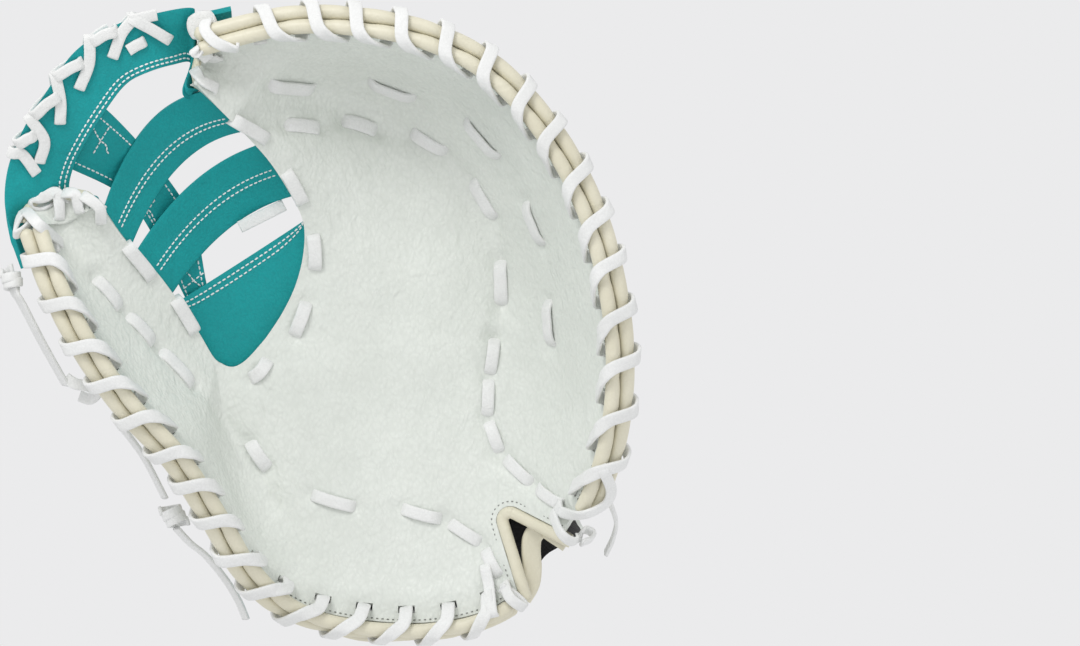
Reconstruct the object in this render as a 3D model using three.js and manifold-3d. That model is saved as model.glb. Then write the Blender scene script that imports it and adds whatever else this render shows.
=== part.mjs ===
// First baseman mitt, worn on the left hand, lying on its back with the pocket up.
// X runs to the little-finger side, Y to the fingertips, Z up. The origin is on the flat
// resting face under the palm. Lengths are millimetres.
import * as THREE from 'three';
import { mergeVertices } from 'three/addons/utils/BufferGeometryUtils.js';
import Module from 'manifold-3d';

const wasm = await Module();
wasm.setup();

// Driving dimensions
const mittWidth = 300;
const mittLength = 310;
const rimHeight = 121;
const floorHeight = 42;
const leather = 2.5;
const palmPadding = 6.5;
const handRoom = 33.5;
const wristRoom = 12;
const clearance = 0.3;
const wallRun = 52;
const wallPower = 1.7;
const lipRun = 60;
const padRun = 26;
const roomRise = 60;
const roomFall = 30;
const tipRoom = 0.42;
const openRun = 32;
const weltRadius = 3.5;
const bindingRadius = 2.8;
const laceWidth = 6.5;
const laceThickness = 2;
const laceInset = 8;
const holeSlack = 1.6;
const thumbLaceTurns = 15;
const fingerLaceTurns = 15;
const webLeather = 2.5;
const barLap = 14;
const crossStrapWidth = 20;
const strapWidth = 33;
const strapLength = 80;
const bandHeight = 52;
const windowWidth = 92;
const windowHeight = 38;
const fastenerThickness = 1.2;
const badgeThickness = 1;
const sidePatchLength = 40;
const sidePatchWidth = 16;

// Levels of the layers outside the back leather, counted outwards from it
const bandLevel = clearance;
const fastenerLevel = bandLevel + leather + clearance;
const strapLevel = fastenerLevel + fastenerThickness + clearance;
const badgeLevel = strapLevel + leather + clearance;
const wristLift = badgeLevel + badgeThickness;

// Sections round the mitt, from the thumb tip over the heel to the fingertips. Each runs from
// the rim to the edge where the web starts. X is a share of mittWidth, Y of mittLength and Z
// of rimHeight.
const sections = [
  { rimX: -0.525, rimY: 0.18, rimZ: 0.83, edgeX: -0.43, edgeY: 0.21, edgeZ: 0.76 },
  { rimX: -0.49, rimY: 0.09, rimZ: 0.86, edgeX: -0.392, edgeY: 0.155, edgeZ: 0.645 },
  { rimX: -0.438, rimY: -0.007, rimZ: 0.86, edgeX: -0.34, edgeY: 0.1, edgeZ: 0.53 },
  { rimX: -0.375, rimY: -0.095, rimZ: 0.81, edgeX: -0.286, edgeY: 0.022, edgeZ: 0.43 },
  { rimX: -0.3, rimY: -0.175, rimZ: 0.745, edgeX: -0.257, edgeY: -0.026, edgeZ: 0.39 },
  { rimX: -0.242, rimY: -0.265, rimZ: 0.645, edgeX: -0.242, edgeY: -0.038, edgeZ: 0.37 },
  { rimX: -0.195, rimY: -0.345, rimZ: 0.545, edgeX: -0.232, edgeY: -0.042, edgeZ: 0.365 },
  { rimX: -0.132, rimY: -0.405, rimZ: 0.445, edgeX: -0.223, edgeY: -0.042, edgeZ: 0.365 },
  { rimX: -0.04, rimY: -0.437, rimZ: 0.4, edgeX: -0.215, edgeY: -0.039, edgeZ: 0.365 },
  { rimX: 0.097, rimY: -0.445, rimZ: 0.4, edgeX: -0.207, edgeY: -0.034, edgeZ: 0.365 },
  { rimX: 0.21, rimY: -0.415, rimZ: 0.415, edgeX: -0.2, edgeY: -0.028, edgeZ: 0.365 },
  { rimX: 0.289, rimY: -0.333, rimZ: 0.51, edgeX: -0.193, edgeY: -0.021, edgeZ: 0.365 },
  { rimX: 0.35, rimY: -0.233, rimZ: 0.725, edgeX: -0.184, edgeY: -0.011, edgeZ: 0.365 },
  { rimX: 0.381, rimY: -0.138, rimZ: 0.86, edgeX: -0.168, edgeY: 0.008, edgeZ: 0.365 },
  { rimX: 0.39, rimY: -0.03, rimZ: 0.94, edgeX: -0.142, edgeY: 0.047, edgeZ: 0.37 },
  { rimX: 0.378, rimY: 0.079, rimZ: 0.985, edgeX: -0.121, edgeY: 0.091, edgeZ: 0.385 },
  { rimX: 0.346, rimY: 0.193, rimZ: 1, edgeX: -0.109, edgeY: 0.141, edgeZ: 0.405 },
  { rimX: 0.285, rimY: 0.306, rimZ: 1, edgeX: -0.11, edgeY: 0.188, edgeZ: 0.435 },
  { rimX: 0.196, rimY: 0.404, rimZ: 0.99, edgeX: -0.132, edgeY: 0.233, edgeZ: 0.49 },
  { rimX: 0.093, rimY: 0.457, rimZ: 0.975, edgeX: -0.161, edgeY: 0.278, edgeZ: 0.56 },
  { rimX: -0.019, rimY: 0.479, rimZ: 0.95, edgeX: -0.194, edgeY: 0.315, edgeZ: 0.645 },
  { rimX: -0.131, rimY: 0.48, rimZ: 0.915, edgeX: -0.223, edgeY: 0.343, edgeZ: 0.725 },
  { rimX: -0.27, rimY: 0.45, rimZ: 0.865, edgeX: -0.275, edgeY: 0.396, edgeZ: 0.82 },
];
const lastSection = sections.length - 1;

const colours = {
  white: 0xd9ddd6, cream: 0xd6d2bd, lace: 0xecedf0, teal: 0x009294, taupe: 0xbeb4aa, black: 0x1b1b1d,
};

function smooth(x) {
  const u = Math.min(1, Math.max(0, x));
  return u * u * (3 - 2 * u);
}

function mix(a, b, u) {
  return a + (b - a) * u;
}

function span(from, to, count) {
  return Array.from({ length: count + 1 }, (_, i) => mix(from, to, i / count));
}

// The section values at any place along the table, on a smooth curve through its rows
function sectionAt(s) {
  const i = Math.min(lastSection - 1, Math.max(0, Math.floor(s)));
  const u = s - i;
  const near = [-1, 0, 1, 2].map((k) => sections[Math.min(lastSection, Math.max(0, i + k))]);
  const at = {};
  for (const key of Object.keys(sections[0])) {
    const [a, b, c, d] = near.map((row) => row[key]);
    const bend = (2 * a - 5 * b + 4 * c - d) * u * u + (3 * b - a - 3 * c + d) * u * u * u;
    at[key] = b + 0.5 * ((c - a) * u + bend);
  }
  const rim = new THREE.Vector2(at.rimX * mittWidth, at.rimY * mittLength);
  const edge = new THREE.Vector2(at.edgeX * mittWidth, at.edgeY * mittLength);
  return {
    rim, edge, span: rim.distanceTo(edge), rimZ: at.rimZ * rimHeight, edgeZ: at.edgeZ * rimHeight,
  };
}

// Pocket face of the palm leather: steep wall down from the rim, floor, lip up to the web edge
function palmFace(s, t) {
  const at = sectionAt(s);
  const wall = Math.max(0, 1 - (t * at.span) / Math.min(wallRun, at.span)) ** wallPower;
  const lipStart = Math.max(0, 1 - lipRun / at.span);
  const lip = smooth((t - lipStart) / (1 - lipStart));
  const z = floorHeight + (at.rimZ - floorHeight) * wall + (at.edgeZ - floorHeight) * lip;
  return new THREE.Vector3(mix(at.rim.x, at.edge.x, t), mix(at.rim.y, at.edge.y, t), z);
}

const faceStep = 0.01;

function inRadians(degrees) {
  return (degrees * Math.PI) / 180;
}

// Local frame on the palm leather: along the rim, out of the pocket face, and out past the rim
function frameAt(s, t) {
  const along = palmFace(s + faceStep, t).sub(palmFace(s - faceStep, t)).normalize();
  const inward = palmFace(s, t + faceStep).sub(palmFace(s, t - faceStep));
  const normal = new THREE.Vector3().crossVectors(along, inward).normalize();
  const outward = new THREE.Vector3().crossVectors(along, normal).normalize();
  return { point: palmFace(s, t), along, normal, outward };
}

// Places along the rim by arc length, so that laces keep an even pitch
const rimSteps = span(0, lastSection, 440);
const rimLengths = rimSteps.reduce((sums, s, i) => {
  const step = i === 0 ? 0 : palmFace(s, 0).distanceTo(palmFace(rimSteps[i - 1], 0));
  return [...sums, (sums[i - 1] ?? 0) + step];
}, []);

function lengthAt(s) {
  const place = (s / lastSection) * (rimSteps.length - 1);
  const i = Math.min(rimSteps.length - 2, Math.max(0, Math.floor(place)));
  return mix(rimLengths[i], rimLengths[i + 1], place - i);
}

function sectionAtLength(length) {
  const i = Math.min(rimSteps.length - 2, Math.max(0, rimLengths.findIndex((sum) => sum > length) - 1));
  return mix(rimSteps[i], rimSteps[i + 1], (length - rimLengths[i]) / (rimLengths[i + 1] - rimLengths[i]));
}

// Lace holes: runs of even pitch, one from the thumb tip round the heel and one up the fingers
function holePlaces(from, to, turns, spread) {
  const start = lengthAt(from);
  const total = lengthAt(to) - start;
  return span(0, 1, turns).map((u) => sectionAtLength(start + total * u ** spread));
}

const heelRunEnd = 10.15;
const fingerRunStart = 11.75;
const thumbHoles = holePlaces(0.5, heelRunEnd - 0.15, thumbLaceTurns, 1);
const fingerHoles = holePlaces(fingerRunStart + 0.2, lastSection - 0.75, fingerLaceTurns, 0.92);

// How far the back leather leaves the rim to let the wrist in, from 0 to 1 along the heel
const lastThumbHoleShut = 10;
const openAfter = lengthAt(thumbHoles[lastThumbHoleShut]) + 0.65 * laceWidth;
const openBefore = lengthAt(fingerHoles[0]) - 2.5 * laceWidth;

function wristOpen(s) {
  const at = lengthAt(s);
  return smooth((at - openAfter) / openRun) * smooth((openBefore - at) / openRun);
}

function palmThickness(s, t) {
  const { span: across } = sectionAt(s);
  return leather + palmPadding * smooth((t * across) / padRun) * smooth(((1 - t) * across) / padRun);
}

// Hollow between palm and back leather, where the fingers, thumb and hand go. The two lie
// together in the flange that the edge lace goes through, and come nearer at both tips.
const thumbTipRun = 4;
const fingerTipRun = 6;

function roomAt(s, t) {
  const { span: across } = sectionAt(s);
  const open = wristOpen(s);
  const tip = smooth(s / thumbTipRun) * smooth((lastSection - s) / fingerTipRun);
  const flange = 0.9 * laceInset;
  const run = Math.min(roomRise, 0.85 * across) - flange;
  const rise = mix(smooth((t * across - flange) / run), 1, open);
  const fall = smooth(((1 - t) * across) / roomFall);
  return clearance + (handRoom * mix(tipRoom, 1, tip) + wristRoom * open) * rise * fall;
}

// How far the back leather is lifted off the ground to leave room for the wrist fastening
function liftAt(y) {
  return wristLift * smooth((-0.1 * mittLength - y) / (0.1 * mittLength));
}

// Direction away from the pocket face: square to the leather near the rim, down elsewhere
function awayFrom(s, t, slack) {
  const { normal } = frameAt(s, t);
  const tilt = (1 - smooth((t * sectionAt(s).span) / roomRise)) * (1 - slack);
  return new THREE.Vector3(normal.x * tilt, normal.y * tilt, normal.z).normalize().negate();
}

function behindFace(s, t, depth) {
  return palmFace(s, t).addScaledVector(awayFrom(s, t, 0), depth);
}

// A point outside the palm leather, level counted outwards from the back leather's outer face
function outerFace(s, t, level) {
  const point = behindFace(s, t, palmThickness(s, t));
  point.addScaledVector(awayFrom(s, t, wristOpen(s)), roomAt(s, t) + leather + level);
  point.z = Math.max(point.z, liftAt(point.y) - level);
  return point;
}

// Closed solid between two grids of points; rows run with the rim and columns into the mitt
function slab(inner, outer) {
  const rows = inner.length;
  const columns = inner[0].length;
  const points = [...inner.flat(), ...outer.flat()];
  const id = (layer, i, j) => layer * rows * columns + i * columns + j;
  const faces = [];
  const quad = (a, b, c, d) => faces.push(a, b, c, a, c, d);
  for (let i = 0; i < rows - 1; i += 1) {
    for (let j = 0; j < columns - 1; j += 1) {
      quad(id(0, i, j), id(0, i + 1, j), id(0, i + 1, j + 1), id(0, i, j + 1));
      quad(id(1, i, j), id(1, i, j + 1), id(1, i + 1, j + 1), id(1, i + 1, j));
    }
    quad(id(0, i, 0), id(1, i, 0), id(1, i + 1, 0), id(0, i + 1, 0));
    const last = columns - 1;
    quad(id(0, i, last), id(0, i + 1, last), id(1, i + 1, last), id(1, i, last));
  }
  for (let j = 0; j < columns - 1; j += 1) {
    quad(id(0, 0, j), id(0, 0, j + 1), id(1, 0, j + 1), id(1, 0, j));
    const last = rows - 1;
    quad(id(0, last, j), id(1, last, j), id(1, last, j + 1), id(0, last, j + 1));
  }
  return geometryFrom(points, faces);
}

// Closed tube: the section's (side, up) pairs carried along a list of placed frames
function sweep(stops, section) {
  const points = stops.flatMap(({ at, side, up }) =>
    section.map(([a, b]) => at.clone().addScaledVector(side, a).addScaledVector(up, b)));
  const n = section.length;
  const faces = [];
  for (let i = 0; i < stops.length - 1; i += 1) {
    for (let j = 0; j < n; j += 1) {
      const k = (j + 1) % n;
      faces.push(i * n + j, i * n + k, (i + 1) * n + k);
      faces.push(i * n + j, (i + 1) * n + k, (i + 1) * n + j);
    }
  }
  const end = (stops.length - 1) * n;
  for (let j = 1; j < n - 1; j += 1) {
    faces.push(0, j + 1, j);
    faces.push(end, end + j, end + j + 1);
  }
  return geometryFrom(points, faces);
}

function geometryFrom(points, faces) {
  const geometry = new THREE.BufferGeometry();
  geometry.setAttribute('position', new THREE.Float32BufferAttribute(points.flatMap((p) => p.toArray()), 3));
  geometry.setIndex(faces);
  return geometry;
}

function round(radius, sides) {
  return Array.from({ length: sides }, (_, i) => {
    const angle = (2 * Math.PI * i) / sides;
    return [radius * Math.cos(angle), radius * Math.sin(angle)];
  });
}

// Frames along a path of points, with the side direction kept near the one given at each point
function placeAlong(path, sides) {
  return path.map((at, i) => {
    const next = path[Math.min(i + 1, path.length - 1)];
    const before = path[Math.max(i - 1, 0)];
    const ahead = next.clone().sub(before).normalize();
    const side = sides[i].clone().addScaledVector(ahead, -sides[i].dot(ahead)).normalize();
    return { at, side, up: new THREE.Vector3().crossVectors(ahead, side) };
  });
}

function toSolid(geometry) {
  const bare = geometry.clone();
  bare.deleteAttribute('normal');
  bare.deleteAttribute('uv');
  const merged = mergeVertices(bare, 1e-4);
  const vertProperties = new Float32Array(merged.attributes.position.array);
  const triVerts = new Uint32Array(merged.index.array);
  return new wasm.Manifold(new wasm.Mesh({ numProp: 3, vertProperties, triVerts }));
}

function fromSolid(solid) {
  const { vertProperties, triVerts } = solid.getMesh();
  const geometry = new THREE.BufferGeometry();
  geometry.setAttribute('position', new THREE.BufferAttribute(vertProperties, 3));
  geometry.setIndex(new THREE.BufferAttribute(triVerts, 1));
  return geometry;
}

function cut(geometry, cutters) {
  let solid = toSolid(geometry);
  for (const cutter of cutters) {
    solid = solid.subtract(toSolid(cutter));
  }
  return fromSolid(largest(solid));
}

// A trim can shave slivers off a piece; the piece is its largest body
function largest(solid) {
  return solid.decompose().reduce((best, body) => (body.volume() > best.volume() ? body : best));
}

const mitt = new THREE.Group();

function addPiece(name, geometry, color, roughness = 0.6) {
  geometry.computeVertexNormals();
  const piece = new THREE.Mesh(geometry, new THREE.MeshStandardMaterial({ color, roughness, metalness: 0 }));
  piece.name = name;
  mitt.add(piece);
}

// Cut prisms stand on a plan outline and run right through the mitt
function prism(outline) {
  const shape = new THREE.Shape(outline);
  const geometry = new THREE.ExtrudeGeometry(shape, { depth: 2 * rimHeight, bevelEnabled: false });
  return geometry.translate(0, 0, -0.5 * rimHeight);
}

// The notch on the little-finger side of the wrist: a wedge open to the rim
const notchApex = new THREE.Vector2(0.2 * mittWidth, -0.253 * mittLength);
const notchHeel = new THREE.Vector2(0.25 * mittWidth, -0.41 * mittLength);
const notchFinger = new THREE.Vector2(0.304 * mittWidth, -0.302 * mittLength);
const notchRound = 2.5 * bindingRadius;

function notchOutline(grow) {
  const toHeel = notchHeel.clone().sub(notchApex).normalize();
  const toFinger = notchFinger.clone().sub(notchApex).normalize();
  const start = Math.atan2(toHeel.y, toHeel.x) - Math.PI / 2;
  const end = Math.atan2(toFinger.y, toFinger.x) + Math.PI / 2;
  const middle = notchApex.clone().addScaledVector(toHeel, notchRound).addScaledVector(toFinger, notchRound);
  const arc = span(start, end - 2 * Math.PI, 6).map((angle) => middle.clone()
    .add(new THREE.Vector2(Math.cos(angle), Math.sin(angle)).multiplyScalar(notchRound + grow)));
  const reach = 1.6 * notchHeel.distanceTo(notchApex);
  const heelEnd = arc[0].clone().addScaledVector(toHeel, reach);
  const fingerEnd = arc[arc.length - 1].clone().addScaledVector(toFinger, reach);
  return [heelEnd, ...arc, fingerEnd];
}

// Edge lacing: a flat lace that winds round both welts and through the holes inside the rim
const weltSpread = 2 * weltRadius + clearance;
const stack = 2 * leather + clearance;
const weltOut = weltRadius + clearance;
const palmWeltUp = -0.5 * stack + 0.5 * weltSpread;
const backWeltUp = palmWeltUp - weltSpread;

function atRim(s, out, up) {
  const { point, normal, outward } = frameAt(s, 0);
  return point.addScaledVector(outward, out).addScaledVector(normal, up);
}

function holeAt(s) {
  const t = (laceInset * faceStep) / palmFace(s, faceStep).distanceTo(palmFace(s, 0));
  const depth = palmThickness(s, t) + Math.min(roomAt(s, t), 2 * clearance) + leather;
  return { ...frameAt(s, t), depth, under: behindFace(s, t, depth + 1.4 * laceThickness) };
}

// Turn of the lace as angle round a welt and share of the way to the next hole
const laceTurn = [
  { up: backWeltUp, angle: -120, way: 0.02 }, { up: backWeltUp, angle: -70, way: 0.08 },
  { up: backWeltUp, angle: -20, way: 0.18 }, { up: palmWeltUp, angle: 20, way: 0.32 },
  { up: palmWeltUp, angle: 70, way: 0.52 }, { up: palmWeltUp, angle: 120, way: 0.74 },
];
const laceTurnStep = 50;

function laceAlong(holes) {
  const bow = (weltRadius + 3 * clearance + 0.5 * laceThickness) / Math.cos(inRadians(0.5 * laceTurnStep));
  const path = [];
  const sides = [];
  const push = (point, side) => {
    path.push(point);
    sides.push(side);
  };
  holes.forEach((s, i) => {
    const hole = holeAt(s);
    push(hole.point.clone().addScaledVector(hole.normal, laceThickness), hole.along);
    push(hole.under, hole.along);
    const next = holes[i + 1];
    if (next === undefined) {
      return;
    }
    for (const { up, angle, way } of laceTurn) {
      const turn = inRadians(angle);
      const place = mix(s, next, way);
      const point = atRim(place, weltOut + bow * Math.cos(turn), up + bow * Math.sin(turn));
      push(point, frameAt(place, 0).along);
    }
  });
  const half = [0.5 * laceWidth, 0.5 * laceThickness];
  const section = [[half[0], -half[1]], [half[0], half[1]], [-half[0], half[1]], [-half[0], -half[1]]];
  return sweep(placeAlong(path, sides), section);
}

function laceHoles(holes) {
  return holes.map((s) => {
    const { point, along, normal, outward, depth } = holeAt(s);
    const size = [laceWidth + holeSlack, laceThickness + holeSlack, 2 * depth];
    const box = new THREE.BoxGeometry(...size).translate(0, 0, -0.5 * depth);
    box.applyMatrix4(new THREE.Matrix4().makeBasis(along, outward.clone().negate(), normal));
    return box.translate(point.x, point.y, point.z);
  });
}

// Palm and back leather
const palmRows = span(0, lastSection, 44);
const palmColumns = [0, 0.035, 0.09, 0.18, 0.31, 0.55, 0.83, 1];
const allHoles = [...laceHoles(thumbHoles), ...laceHoles(fingerHoles)];

function faceGrid(rows, columns, place) {
  return rows.map((s) => columns.map((t) => place(s, t)));
}

const palmSlab = slab(
  faceGrid(palmRows, palmColumns, palmFace),
  faceGrid(palmRows, palmColumns, (s, t) => behindFace(s, t, palmThickness(s, t))),
);
addPiece('palm', cut(palmSlab, [prism(notchOutline(0)), ...allHoles]), colours.white);

const windowMiddle = new THREE.Vector2(0.077 * mittWidth, -0.215 * mittLength);

function windowOutline(grow) {
  const corner = 0.42 * windowHeight;
  const half = new THREE.Vector2(0.5 * windowWidth - corner, 0.5 * windowHeight - corner);
  const points = [];
  for (const [x, y, start] of [[1, 1, 0], [-1, 1, 90], [-1, -1, 180], [1, -1, 270]]) {
    for (const step of span(0, 90, 4)) {
      const angle = inRadians(start + step);
      const reach = corner + grow;
      points.push(new THREE.Vector2(
        windowMiddle.x + x * half.x + reach * Math.cos(angle),
        windowMiddle.y + y * half.y + reach * Math.sin(angle),
      ));
    }
  }
  return points;
}

const bandTop = windowMiddle.y - 0.5 * windowHeight + clearance;
const windowSides = [windowMiddle.x - 0.5 * windowWidth, windowMiddle.x + 0.5 * windowWidth];
const cuffSides = [-0.125 * mittWidth, 0.225 * mittWidth];
const cuffDrop = 0.19 * bandHeight;
const wristCut = [
  new THREE.Vector2(windowSides[0], windowMiddle.y), new THREE.Vector2(windowSides[0], bandTop),
  new THREE.Vector2(cuffSides[0], bandTop - cuffDrop), new THREE.Vector2(cuffSides[0], -mittLength),
  new THREE.Vector2(cuffSides[1], -mittLength), new THREE.Vector2(cuffSides[1], bandTop - cuffDrop),
  new THREE.Vector2(windowSides[1], bandTop), new THREE.Vector2(windowSides[1], windowMiddle.y),
];
const backSlab = slab(
  faceGrid(palmRows, palmColumns, (s, t) => outerFace(s, t, -leather)),
  faceGrid(palmRows, palmColumns, (s, t) => outerFace(s, t, 0)),
);
addPiece('back', cut(backSlab, [prism(windowOutline(0)), prism(wristCut), ...allHoles]), colours.white);

// Welts on the edges of both leathers, in two runs that stop at the notch
const weltSteps = 25;
const weltSides = 6;

function welt(from, to, up) {
  const places = span(from, to, weltSteps);
  const path = places.map((s) => atRim(s, weltOut, up));
  const normals = places.map((s) => frameAt(s, 0).normal);
  return sweep(placeAlong(path, normals), round(weltRadius, weltSides));
}

addPiece('palm_welt_thumb', welt(0, heelRunEnd, palmWeltUp), colours.cream, 0.5);
addPiece('palm_welt_fingers', welt(fingerRunStart, lastSection, palmWeltUp), colours.cream, 0.5);
addPiece('back_welt_thumb', welt(0, heelRunEnd, backWeltUp), colours.cream, 0.5);
addPiece('back_welt_fingers', welt(fingerRunStart, lastSection, backWeltUp), colours.cream, 0.5);
addPiece('edge_lace_thumb', laceAlong(thumbHoles), colours.lace, 0.55);
addPiece('edge_lace_fingers', laceAlong([...fingerHoles].reverse()), colours.lace, 0.55);

// Notch binding: rolled leather along the cut edge of the palm
function palmAtPlan(spot, drop) {
  let best = { distance: Infinity };
  for (const s of span(heelRunEnd - 1.3, fingerRunStart + 1.3, 60)) {
    const { rim, edge } = sectionAt(s);
    const run = edge.clone().sub(rim);
    const t = spot.clone().sub(rim).dot(run) / run.lengthSq();
    const distance = rim.clone().addScaledVector(run, t).distanceTo(spot);
    if (distance < best.distance) {
      best = { distance, s, t };
    }
  }
  const { point, normal } = frameAt(best.s, Math.max(0, best.t));
  return { point: new THREE.Vector3(spot.x, spot.y, point.z - drop), normal };
}

const notchLine = notchOutline(-(bindingRadius + clearance));
const [notchLeft, notchRight] = [notchLine[0], notchLine[notchLine.length - 1]];
const notchPath = [
  notchLeft.clone().lerp(notchLine[1], 0.5), notchLeft.clone().lerp(notchLine[1], 0.72),
  ...notchLine.slice(1, -1),
  notchRight.clone().lerp(notchLine[notchLine.length - 2], 0.78),
  notchRight.clone().lerp(notchLine[notchLine.length - 2], 0.62),
].map((spot) => palmAtPlan(spot, 0.5 * leather));
addPiece('notch_binding', sweep(
  placeAlong(notchPath.map(({ point }) => point), notchPath.map(({ normal }) => normal)),
  round(bindingRadius, 8),
), colours.cream, 0.5);

// Layers outside the back leather share its rows and columns, so that they nest without touching
const layerColumns = [-0.12, -0.04, ...palmColumns];
const layerRows = palmRows.filter((s) => s > 4.4 && s < 12.6);

function layer(level, thickness, outline) {
  const whole = slab(
    faceGrid(layerRows, layerColumns, (s, t) => outerFace(s, t, level)),
    faceGrid(layerRows, layerColumns, (s, t) => outerFace(s, t, level + thickness)),
  );
  return fromSolid(largest(toSolid(whole).intersect(toSolid(prism(outline)))));
}

// Height of a layer over a spot in the open stretch of the wrist, where layers lie level
function levelHeight(y, level) {
  return liftAt(y) - level;
}

function tubeOver(spots, level, radius) {
  const path = spots.map((spot) => new THREE.Vector3(spot.x, spot.y, levelHeight(spot.y, level)));
  return sweep(placeAlong(path, path.map(() => new THREE.Vector3(0, 0, 1))), round(radius, 8));
}

function roundedBox(x0, x1, y0, y1, cornerLeft, cornerRight) {
  const corners = [[x1, y1, -1, -1, 0, cornerRight], [x0, y1, 1, -1, 90, cornerLeft],
    [x0, y0, 1, 1, 180, cornerLeft], [x1, y0, -1, 1, 270, cornerRight]];
  return corners.flatMap(([x, y, dx, dy, start, corner]) => span(0, 90, 5).map((step) => {
    const angle = inRadians(start + step);
    return new THREE.Vector2(x + corner * (dx + Math.cos(angle)), y + corner * (dy + Math.sin(angle)));
  }));
}

// Wrist band across the back of the wrist, bound on both long edges
const bandCorners = [
  // x as a share of mittWidth, down as a share of bandHeight
  { x: 0.25, down: 0 }, { x: -0.083, down: 0 }, { x: -0.083, down: -0.2 }, { x: -0.1, down: -0.31 },
  { x: -0.138, down: -0.22 }, { x: -0.162, down: 0 }, { x: -0.16, down: 0.25 }, { x: -0.145, down: 0.5 },
  { x: -0.12, down: 0.77 }, { x: -0.093, down: 0.95 }, { x: -0.06, down: 1.06 }, { x: -0.016, down: 1.12 },
  { x: 0.04, down: 1.12 }, { x: 0.11, down: 1.08 }, { x: 0.17, down: 1 }, { x: 0.22, down: 0.87 },
  { x: 0.244, down: 0.65 }, { x: 0.25, down: 0.4 },
];
const bandOutline = bandCorners
  .map(({ x, down }) => new THREE.Vector2(x * mittWidth, bandTop - down * bandHeight));
addPiece('wrist_band', layer(bandLevel, leather, bandOutline), colours.teal, 0.7);

const windowRing = windowOutline(-bindingRadius - clearance)
  .filter((spot) => spot.y > windowMiddle.y - 0.2 * windowHeight);
const ringStart = windowRing.findIndex((spot) => spot.x > windowMiddle.x && spot.y < windowMiddle.y);
const windowPath = ringStart < 0 ? windowRing
  : [...windowRing.slice(ringStart), ...windowRing.slice(0, ringStart)];
addPiece('window_binding', tubeOver(windowPath, -0.5 * leather, bindingRadius), colours.cream, 0.5);

const bandEdgeUp = bandTop + bindingRadius + clearance;
const topInset = 2 * bindingRadius;
const topRun = span(windowSides[0] + topInset, windowSides[1] - topInset, 12)
  .map((x) => new THREE.Vector2(x, bandEdgeUp));
const bandMiddleLevel = bandLevel + 0.5 * leather;
addPiece('wrist_band_top_binding', tubeOver(topRun, bandMiddleLevel, bindingRadius), colours.cream, 0.5);
const bottomCorners = bandCorners.filter(({ x, down }) => down > 0.9 && x > -0.08 && x < 0.2);
const bottomRun = bottomCorners.map(({ x, down }) => new THREE.Vector2(
  x * mittWidth, bandTop - down * bandHeight - bindingRadius - clearance));
const bottomTube = tubeOver(bottomRun, bandMiddleLevel, bindingRadius);
addPiece('wrist_band_bottom_binding', bottomTube, colours.cream, 0.5);

// Strap over the band, held by the fastener patch under its round end
const strapTop = bandTop - 0.35 * (bandHeight - strapWidth);
const strapBottom = strapTop - strapWidth;
const strapEnd = -0.02 * mittWidth;
const strapStart = strapEnd + strapLength;
const strapCorner = 0.49 * strapWidth;
const squareCorner = 0.06 * strapWidth;
const strapOutline = roundedBox(strapEnd, strapStart, strapBottom, strapTop, strapCorner, squareCorner);
addPiece('wrist_strap', layer(strapLevel, leather, strapOutline), colours.teal, 0.7);

const strapEdgeRadius = 0.5 * leather + 0.5 * clearance;
const edgeOut = strapEdgeRadius + clearance;
const strapEdge = roundedBox(strapEnd - edgeOut, strapStart, strapBottom - edgeOut, strapTop + edgeOut,
  strapCorner + edgeOut, squareCorner).filter((spot) => spot.x < 0.2 * mittWidth);
const strapTube = tubeOver(strapEdge, strapLevel + 0.5 * leather, strapEdgeRadius);
addPiece('strap_binding', strapTube, colours.cream, 0.5);

const fastenerInset = 0.09 * strapWidth;
const fastenerOutline = roundedBox(strapEnd - 0.15 * strapLength, strapEnd + 0.2 * strapLength,
  strapBottom + fastenerInset, strapTop - fastenerInset, 2 * fastenerInset, 2 * fastenerInset);
addPiece('fastener_patch', layer(fastenerLevel, fastenerThickness, fastenerOutline), colours.black, 0.9);
const badgeInset = 0.12 * strapWidth;
const badgeOutline = roundedBox(strapEnd + 0.225 * strapLength, strapStart - 0.175 * strapLength,
  strapBottom + badgeInset, strapTop - badgeInset, squareCorner, squareCorner);
addPiece('strap_patch', layer(badgeLevel, badgeThickness, badgeOutline), colours.taupe, 0.8);

// Everything fixed outside the back leather is trimmed to clear it
const reachRows = [-0.03, ...palmRows, lastSection + 0.03];
const reachPast = 0.4 * leather;
const pastEdge = (s, t) => (t > 1 ? 1 + reachPast / sectionAt(s).span : t);
const reachGrid = (level) => faceGrid(reachRows, [...palmColumns, 2],
  (s, t) => outerFace(s, pastEdge(s, t), level));
const backReach = slab(reachGrid(-leather - clearance), reachGrid(clearance));

// Oval patch on the thumb's back
const ovalMiddle = { s: 5.25, t: 0.3 };
const ovalGrid = (level) => span(-1, 1, 10).map((x) => {
  const half = 0.5 * sidePatchWidth * Math.sqrt(1 - 0.98 * x * x);
  const s = sectionAtLength(lengthAt(ovalMiddle.s) + 0.5 * sidePatchLength * x);
  const across = sectionAt(s).span;
  return span(-1, 1, 4).map((y) => outerFace(s, ovalMiddle.t + (half * y) / across, level));
});
const ovalLevel = 3 * clearance;
addPiece('side_patch', cut(slab(ovalGrid(ovalLevel), ovalGrid(ovalLevel + badgeThickness)), [backReach]),
  colours.taupe, 0.8);

// Web: leather bars from thumb edge to finger edge, bowed away from the crotch and sagging
const crotch = palmFace(8, 1);
const webTop = palmFace(0, 1).add(palmFace(lastSection, 1)).multiplyScalar(0.5);
const webAxis = new THREE.Vector3(webTop.x - crotch.x, webTop.y - crotch.y, 0).normalize();
const seat = 2 * clearance;

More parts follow.
